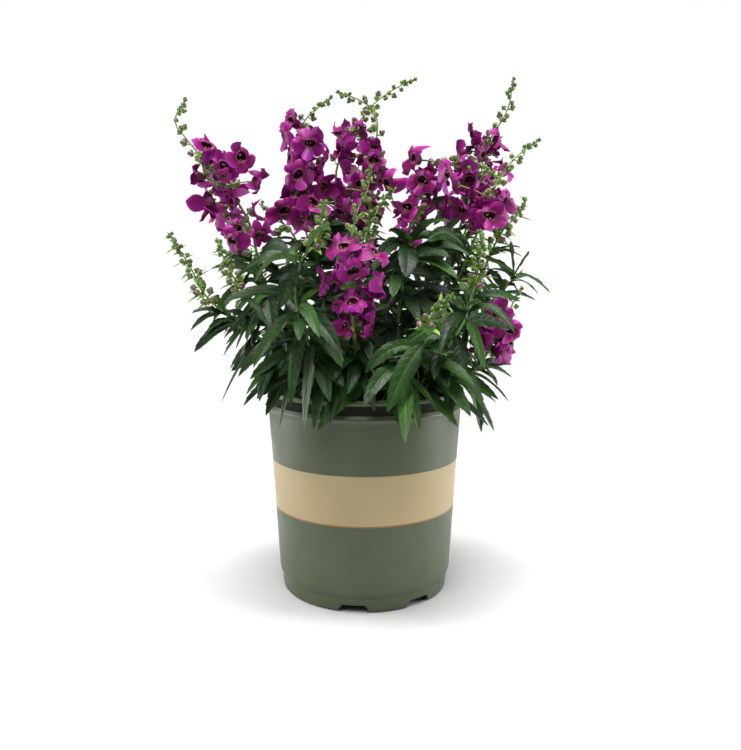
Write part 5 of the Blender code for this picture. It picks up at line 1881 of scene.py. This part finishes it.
# Here too the lighter margin is partly the petal's own paler edge and partly a painted highlight
petal_back = petal_paint("petal_back", [
    (0.0, linear(106, 76, 78)), (0.3, linear(118, 28, 90)), (0.5, linear(132, 14, 106)),
    (0.9, linear(150, 20, 126)), (1.0, linear(184, 56, 158))])
anther = speckled_paint("anther", 0.5, linear(150, 112, 116), linear(214, 196, 190), 900.0)[0]
tongue = speckled_paint("tongue", 0.45, linear(128, 70, 62), linear(172, 156, 84), 1100.0)[0]
print("petal paints:", petal_front.name, petal_back.name, anther.name, tongue.name)

# %% [markdown]
# ## Bud green
# Buds and their stalks are a fresh light green. A bud's tip darkens to olive and purple as the
# petals form inside, and the largest are pale lilac just before they open. The second number of
# the mark runs from the stalk to the tip, so it places the dark tip on each bud.

# %% Paint the buds
BUD_ROUGHNESS = 0.42


def green_paint(name, low, high, tip_colour, tip_from, tip_share):
    """A green by the tone, which turns to another colour towards the tip."""
    paint, tree, shader = new_paint(name, BUD_ROUGHNESS)
    _, upward, tone = parts_of(tree, form_mark(tree))
    tipped = times(tree, step_up(tree, upward, tip_from, 1.0), tip_share)
    green = blend_colours(tree, tipped, blend_colours(tree, tone, low, high), tip_colour)
    finish_green(tree, shader, green, 420.0, 0.75, 1.18, 2200.0)
    return paint


stalk_skin = green_paint("stalk_skin", linear(128, 162, 76), linear(156, 184, 96),
                         linear(120, 150, 80), 0.5, 0.3)
bud_skin = green_paint("bud_skin", linear(120, 160, 66), linear(158, 116, 132),
                       linear(64, 34, 50), 0.5, 0.6)
sepal_skin = green_paint("sepal_skin", linear(104, 150, 64), linear(164, 200, 98),
                         linear(66, 84, 46), 0.65, 0.4)
print("bud paints:", stalk_skin.name, bud_skin.name, sepal_skin.name)

# %% [markdown]
# ## Pot plastic
# The pot is blow-moulded in olive green plastic with a low sheen. Printed round it is a tan band
# with a thin rust line below it. On the real pot the band carries print, and here it is left
# plain. Height above the floor decides what is band, so the band follows the pot all round. The
# recess below the lip is almost black in the photograph, so it gets a painted shade: a much
# darker, duller paint that stands for the shade under the lip.

# %% Paint the pot
BAND_BOTTOM, BAND_TOP = 0.0726, 0.1122
RUST_LINE = 0.0011
PRINT_EDGE = 0.00025
POT_SHINE, RECESS_SHINE = 0.48, 0.1

pot_paint, tree, shader = new_paint("pot_plastic", 0.42, POT_SHINE)
height = parts_of(tree, own_place(tree))["Z"]
drift = mottled(tree, 9.0, 0.9, 1.1)
olive = blend_colours(tree, mottled(tree, 60.0, 0.0, 0.07),
                      brighten(tree, linear(64, 75, 49), drift), linear(130, 130, 112))


def print_band(colour, low, high, ink):
    """The colour with a band of ink between two heights."""
    above, below = (step_up(tree, height, edge - PRINT_EDGE, edge + PRINT_EDGE)
                    for edge in (low, high))
    return blend_colours(tree, sums(tree, "SUBTRACT", above, below), colour, ink)


colour = print_band(olive, BAND_BOTTOM, BAND_TOP, brighten(tree, linear(166, 149, 108), drift))
colour = print_band(colour, BAND_BOTTOM - RUST_LINE, BAND_BOTTOM, linear(146, 98, 52))
tree.links.new(colour, shader.inputs["Base Color"])
tree.links.new(mottled(tree, 45.0, 0.36, 0.5), shader.inputs["Roughness"])
bump(tree, shader, grained(tree, 320.0), 0.12, 0.0004)

# Painted shade: the recess below the lip is painted nearly black and dull, for the shade under it
recess_painted_shade, tree, shader = new_paint("pot_recess_painted_shade", 0.8, RECESS_SHINE)
tree.links.new(brighten(tree, linear(27, 31, 23), mottled(tree, 80.0, 0.7, 1.3)),
               shader.inputs["Base Color"])
print("pot paints:", pot_paint.name, recess_painted_shade.name)

# %% [markdown]
# ## Potting mix
# The mix is dark peat with bark and a few white grains of perlite. The peat's lumps are real
# geometry, and the paint adds the crumb that is too small for it.

# %% Paint the potting mix
MIX_ROUGHNESS = 0.95


def crumb_paint(name, dark, light, scale):
    """Speckles, with crumbs a third as wide."""
    paint, tree, shader = speckled_paint(name, MIX_ROUGHNESS, dark, light, scale)
    bump(tree, shader, grained(tree, scale * 3), 0.7, 0.0012)
    return paint


peat = crumb_paint("peat", linear(26, 20, 16), linear(62, 48, 36), 320.0)
bark = crumb_paint("bark", linear(52, 36, 24), linear(104, 78, 54), 500.0)
perlite = crumb_paint("perlite", linear(170, 166, 156), linear(214, 210, 200), 700.0)
print("mix paints:", peat.name, bark.name, perlite.name)

# %% [markdown]
# ## The pot
# A pot is turned: one profile swept round an axis. The profile starts inside at the bottom, comes
# up over the rolled lip, and goes down past the recess below the lip, the sloping shoulder and
# the tapering wall to the foot, which steps in. Rounded corners are drawn as a few short sides,
# because light catches on them. The six drain notches in the foot are cut out with a Boolean.

# %% Turn the pot
POT_PROFILE = (
    (0.0, 1.8), (66.0, 1.8), (68.6, 2.9), (69.5, 5.5), (69.6, 13.0), (71.9, 19.0),
    (78.3, 155.0), (78.6, 160.0), (78.6, 168.6), (78.9, 169.9), (79.7, 170.7), (80.9, 171.0),
    (82.6, 171.0), (83.5, 170.7), (83.9, 170.0), (84.0, 169.0), (84.0, 167.9), (83.7, 167.2),
    (83.0, 166.9), (81.1, 166.7), (80.4, 166.3), (80.1, 165.6), (79.9, 160.6), (80.0, 159.8),
    (80.4, 159.0), (81.7, 156.8), (82.0, 156.1), (82.05, 155.6), (81.9, 155.1), (81.5, 154.3),
    (81.45, 152.0), (73.75, 20.5), (73.5, 17.6),
    (73.1, 15.5), (72.5, 14.0), (71.9, 13.2), (71.5, 12.7), (71.25, 12.0), (71.2, 11.0),
    (71.1, 4.4), (70.8, 2.4), (70.1, 1.0), (69.0, 0.2), (67.8, 0.0), (0.0, 0.0))
FINE_SIDES = 144
NOTCH_TURN = math.radians(-7.2)
NOTCH_STEP = math.radians(45.0)
NOTCH_PLACES = (0, 1, 2, 4, 5, 6)
# Half a notch, as (half width, height), from the floor up and over
NOTCH_OUTLINE = ((13.2, -2.0), (12.6, 0.6), (11.9, 2.2), (10.2, 5.2), (9.4, 6.2), (8.4, 6.6))
NOTCH_REACH = (58.0, 76.0)
# Between which heights, and outside which radius, the wall is recess, which gets the painted shade
RECESS_HEIGHTS = (158.9, 167.3)
RECESS_INSIDE = 79.5
# How wide the cut edges are rounded, and from which angle on an edge is rounded or looks sharp
ROUNDED = 0.4
ROUNDED_FROM, SHARP_FROM = 50.0, 38.0

TURNS = np.arange(FINE_SIDES) * math.tau / FINE_SIDES


def circle(radius, height):
    """A ring of points. The height is one number, or one for each point."""
    return np.stack([radius * np.sin(TURNS), -radius * np.cos(TURNS),
                     np.full(FINE_SIDES, height)], 1)


def turned(body, first, rings, last, slots):
    """Adds a body of rings round the upright, from its top pole to its lowest."""
    marks = np.zeros((len(rings) * FINE_SIDES + 2, 3))
    body.rings(UPRIGHT * first, rings, UPRIGHT * last, marks, slots)


def turn_pot():
    pot = Sculpture()
    # The faces of the recess take the second paint, the painted shade
    slots = [int(min(a[0], b[0]) > RECESS_INSIDE and RECESS_HEIGHTS[0] < min(a[1], b[1])
                 and max(a[1], b[1]) < RECESS_HEIGHTS[1])
             for a, b in zip(POT_PROFILE, POT_PROFILE[1:])]
    turned(pot, POT_PROFILE[0][1], [circle(*place) for place in POT_PROFILE[1:-1]],
           POT_PROFILE[-1][1], slots)
    return pot.make("nursery_pot", "pot", ["pot"], [pot_paint, recess_painted_shade])


def notch_cutter():
    """Six wedges that stand across the wall, in one mesh."""
    outline = [(x, z) for x, z in NOTCH_OUTLINE] + [(-x, z) for x, z in NOTCH_OUTLINE[::-1]]
    verts, faces, count = [], [], len(outline)
    for k in NOTCH_PLACES:
        turn = NOTCH_TURN + NOTCH_STEP * k
        start = len(verts)
        for reach in NOTCH_REACH:
            for x, z in outline:
                verts.append(((math.cos(turn) * x + math.sin(turn) * reach) * MM,
                              (math.sin(turn) * x - math.cos(turn) * reach) * MM, z * MM))
        faces += [tuple(start + i for i in range(count)),
                  tuple(start + count + i for i in reversed(range(count)))]
        faces += [(start + i, start + count + i, start + count + (i + 1) % count,
                   start + (i + 1) % count) for i in range(count)]
    mesh = bpy.data.meshes.new("notch_cutter")
    mesh.from_pydata(verts, [], faces)
    wedges = bmesh.new()
    wedges.from_mesh(mesh)
    bmesh.ops.recalc_face_normals(wedges, faces=wedges.faces)
    wedges.to_mesh(mesh)
    wedges.free()
    return add_object("notch_cutter", mesh)


def cut_and_soften(piece, cutter):
    """Cuts the piece, rounds the edges that are left sharp, and keeps the result as its mesh."""
    cut = piece.modifiers.new("cut", "BOOLEAN")
    cut.operation = "DIFFERENCE"
    cut.solver = "EXACT"
    cut.object = cutter
    soften = piece.modifiers.new("soften", "BEVEL")
    soften.width = ROUNDED * MM
    soften.segments = 2
    soften.limit_method = "ANGLE"
    soften.angle_limit = math.radians(ROUNDED_FROM)
    graph = bpy.context.evaluated_depsgraph_get()
    result = bpy.data.meshes.new_from_object(piece.evaluated_get(graph))
    piece.modifiers.clear()
    piece.data = result
    bpy.data.objects.remove(cutter)


fine_pot = turn_pot()
cut_and_soften(fine_pot, notch_cutter())
fine_pot.data.polygons.foreach_set("use_smooth", [True] * len(fine_pot.data.polygons))
fine_pot.data.set_sharp_from_angle(angle=math.radians(SHARP_FROM))
print("pot faces:", len(fine_pot.data.polygons))

# %% [markdown]
# ## The potting mix
# The mix fills the pot up to its shoulder and is a little higher in the middle. Its top is a
# grid of rings pushed up and down by noise, and chips of bark and grains of perlite lie on it.

# %% Fill the pot
MIX_RINGS = 26
MIX_LUMPS = 1.6
# How much room the top of the mix leaves inside the collar
MIX_CLEAR = 0.5
# The sides and the bottom of the mix, as (radius, height)
MIX_SIDE = ((71.5, 19.0), (69.0, 12.0), (58.0, 9.0), (57.0, 2.4))
CHIPS = 420
CHIP_REACH = 76.0
PERLITE_SHARE = 0.14
PERLITE_SIZE, BARK_SIZE = (0.7, 1.5), (0.8, 2.6)


def mix_height(x, y):
    """The height of the mix at a place, with its lumps."""
    reach = math.hypot(x, y) / (COLLAR_RADIUS - WALL)
    lumps = noise.noise(Vector((x, y, 3.0)) * 0.16) + 0.6 * noise.noise(Vector((x, y, 9.0)) * 0.5)
    return SOIL_MIDDLE + (SOIL_EDGE - SOIL_MIDDLE) * reach ** 2 + MIX_LUMPS * lumps


def fill_pot():
    mix = Sculpture()
    rings = []
    for k in range(1, MIX_RINGS + 1):
        reach = (COLLAR_RADIUS - WALL - MIX_CLEAR) * k / MIX_RINGS
        rings.append(circle(reach, [mix_height(reach * math.sin(t), -reach * math.cos(t))
                                    for t in TURNS]))
    rings += [circle(*place) for place in MIX_SIDE]
    turned(mix, mix_height(0.0, 0.0), rings, MIX_SIDE[-1][1], [0] * (len(rings) + 1))
    draw = seeded(17)
    for _ in range(CHIPS):
        turn, reach = draw.uniform(0, math.tau), CHIP_REACH * math.sqrt(draw.random())
        x, y = reach * math.sin(turn), -reach * math.cos(turn)
        white = draw.random() < PERLITE_SHARE
        size = draw.uniform(*(PERLITE_SIZE if white else BARK_SIZE))
        axis = unit(np.array((draw.uniform(-1, 1), draw.uniform(-1, 1), draw.uniform(-0.4, 0.4))))
        front = unit(np.cross(axis, (0.2, 0.3, 0.93)))
        centre = np.array((x, y, mix_height(x, y) + size * 0.25))
        length = size * (1.1 if white else draw.uniform(1.2, 2.2))
        pebble(mix, centre, axis, front, size * 0.7, length, 6, 4, 2 if white else 1,
               draw.random())
    return mix.make("potting_mix", "soil", ["soil"], [peat, bark, perlite])


soil = fill_pot()
print("mix faces:", len(soil.data.polygons))

# %% [markdown]
# ## The leafy stems
# Each stem is one piece: its stalk, its side shoots and all their leaves. A leaf's foot is set on
# the nearest place of the smooth stalk, which is within a hair of where its solid begins.

# %% Grow the stems
# How slim a fine stalk is beside the solid's, and how slim a raceme's is at its tip
FINE_STALK = 0.92
STALK_AT_TIP = 0.7
STALK_SIDES = 8
STEM_SQUARE, RACEME_SQUARE = 0.07, 0.05
BELOW_SOIL = 9.0
STALK_TONE = 0.5


def smooth_stalk(sculpture, name, start, end, slot, square, slimmest=FINE_STALK):
    """A stalk along the smooth route between two shares of the coarse route's length."""
    route, coarse = fine_routes[name], routes[name]
    low, high = route.nearest(coarse.at(start)), route.nearest(coarse.at(end))
    count = max(3, math.ceil((high - low) / STALK_STEP) + 1)
    places = np.linspace(low, high, count)
    points = [route.at(along) for along in places]
    radii = [thickness(name, min(along, coarse.length)) * slim
             for along, slim in zip(places, np.linspace(FINE_STALK, slimmest, count))]
    if start == 0.0 and "crown" in SHOOTS[name]:
        points.insert(0, points[0] - UP * BELOW_SOIL)
        radii.insert(0, radii[0])
    stalk(sculpture, points, radii, STALK_SIDES, slot, STALK_TONE, square)


def grow_stem(plant):
    sculpture = Sculpture()
    draw = seeded(19, plant)
    for name in SHOOTS:
        if plant_of[name] == plant:
            smooth_stalk(sculpture, name, 0.0, raceme_start[name], STEM_SKIN, STEM_SQUARE)
    for item in items:
        if item["node"] == "stem_" + plant:
            route = fine_routes[item["shoot"]]
            draw_leaf(sculpture, item, route.at(route.nearest(item["base"])), draw)
    return sculpture.make("leafy_stem_" + plant, "leaf", ["stem_" + plant],
                          [leaf_upper, leaf_under, stem_skin])


for plant in sorted(set(plant_of.values())):
    piece = grow_stem(plant)
    print(piece.name, len(piece.data.polygons), "faces")

# %% [markdown]
# ## The racemes
# A raceme is two pieces: its petals, and the green spray that carries them. Both stand for the
# one solid. The racemes that have only buds need just the spray.

# %% Open the racemes


def dress_raceme(name):
    node = "raceme_" + name
    petals, spray = Sculpture(), Sculpture()
    draw = seeded(29, name)
    route = fine_routes[name]
    smooth_stalk(spray, name, raceme_start[name], routes[name].length, STALK_SKIN, RACEME_SQUARE,
                 STALK_AT_TIP)
    for item in items:
        if item["node"] != node:
            continue
        root = route.at(route.nearest(item["root"]))
        if item["kind"] == "bloom":
            draw_bloom(petals, item, draw)
            draw_calyx(spray, item, root, draw)
        else:
            draw_bud(spray, item, root, draw)
    tip_cluster(spray, route, draw)
    made = [spray.make("green_spray_" + name, "bud", [node], [stalk_skin, bud_skin, sepal_skin])]
    if petals.faces:
        made.append(petals.make("petals_" + name, "petal", [node],
                                [petal_front, petal_back, anther, tongue]))
    return made


for name in RACEMES:
    print(", ".join("%s %d faces" % (piece.name, len(piece.data.polygons))
                    for piece in dress_raceme(name)))
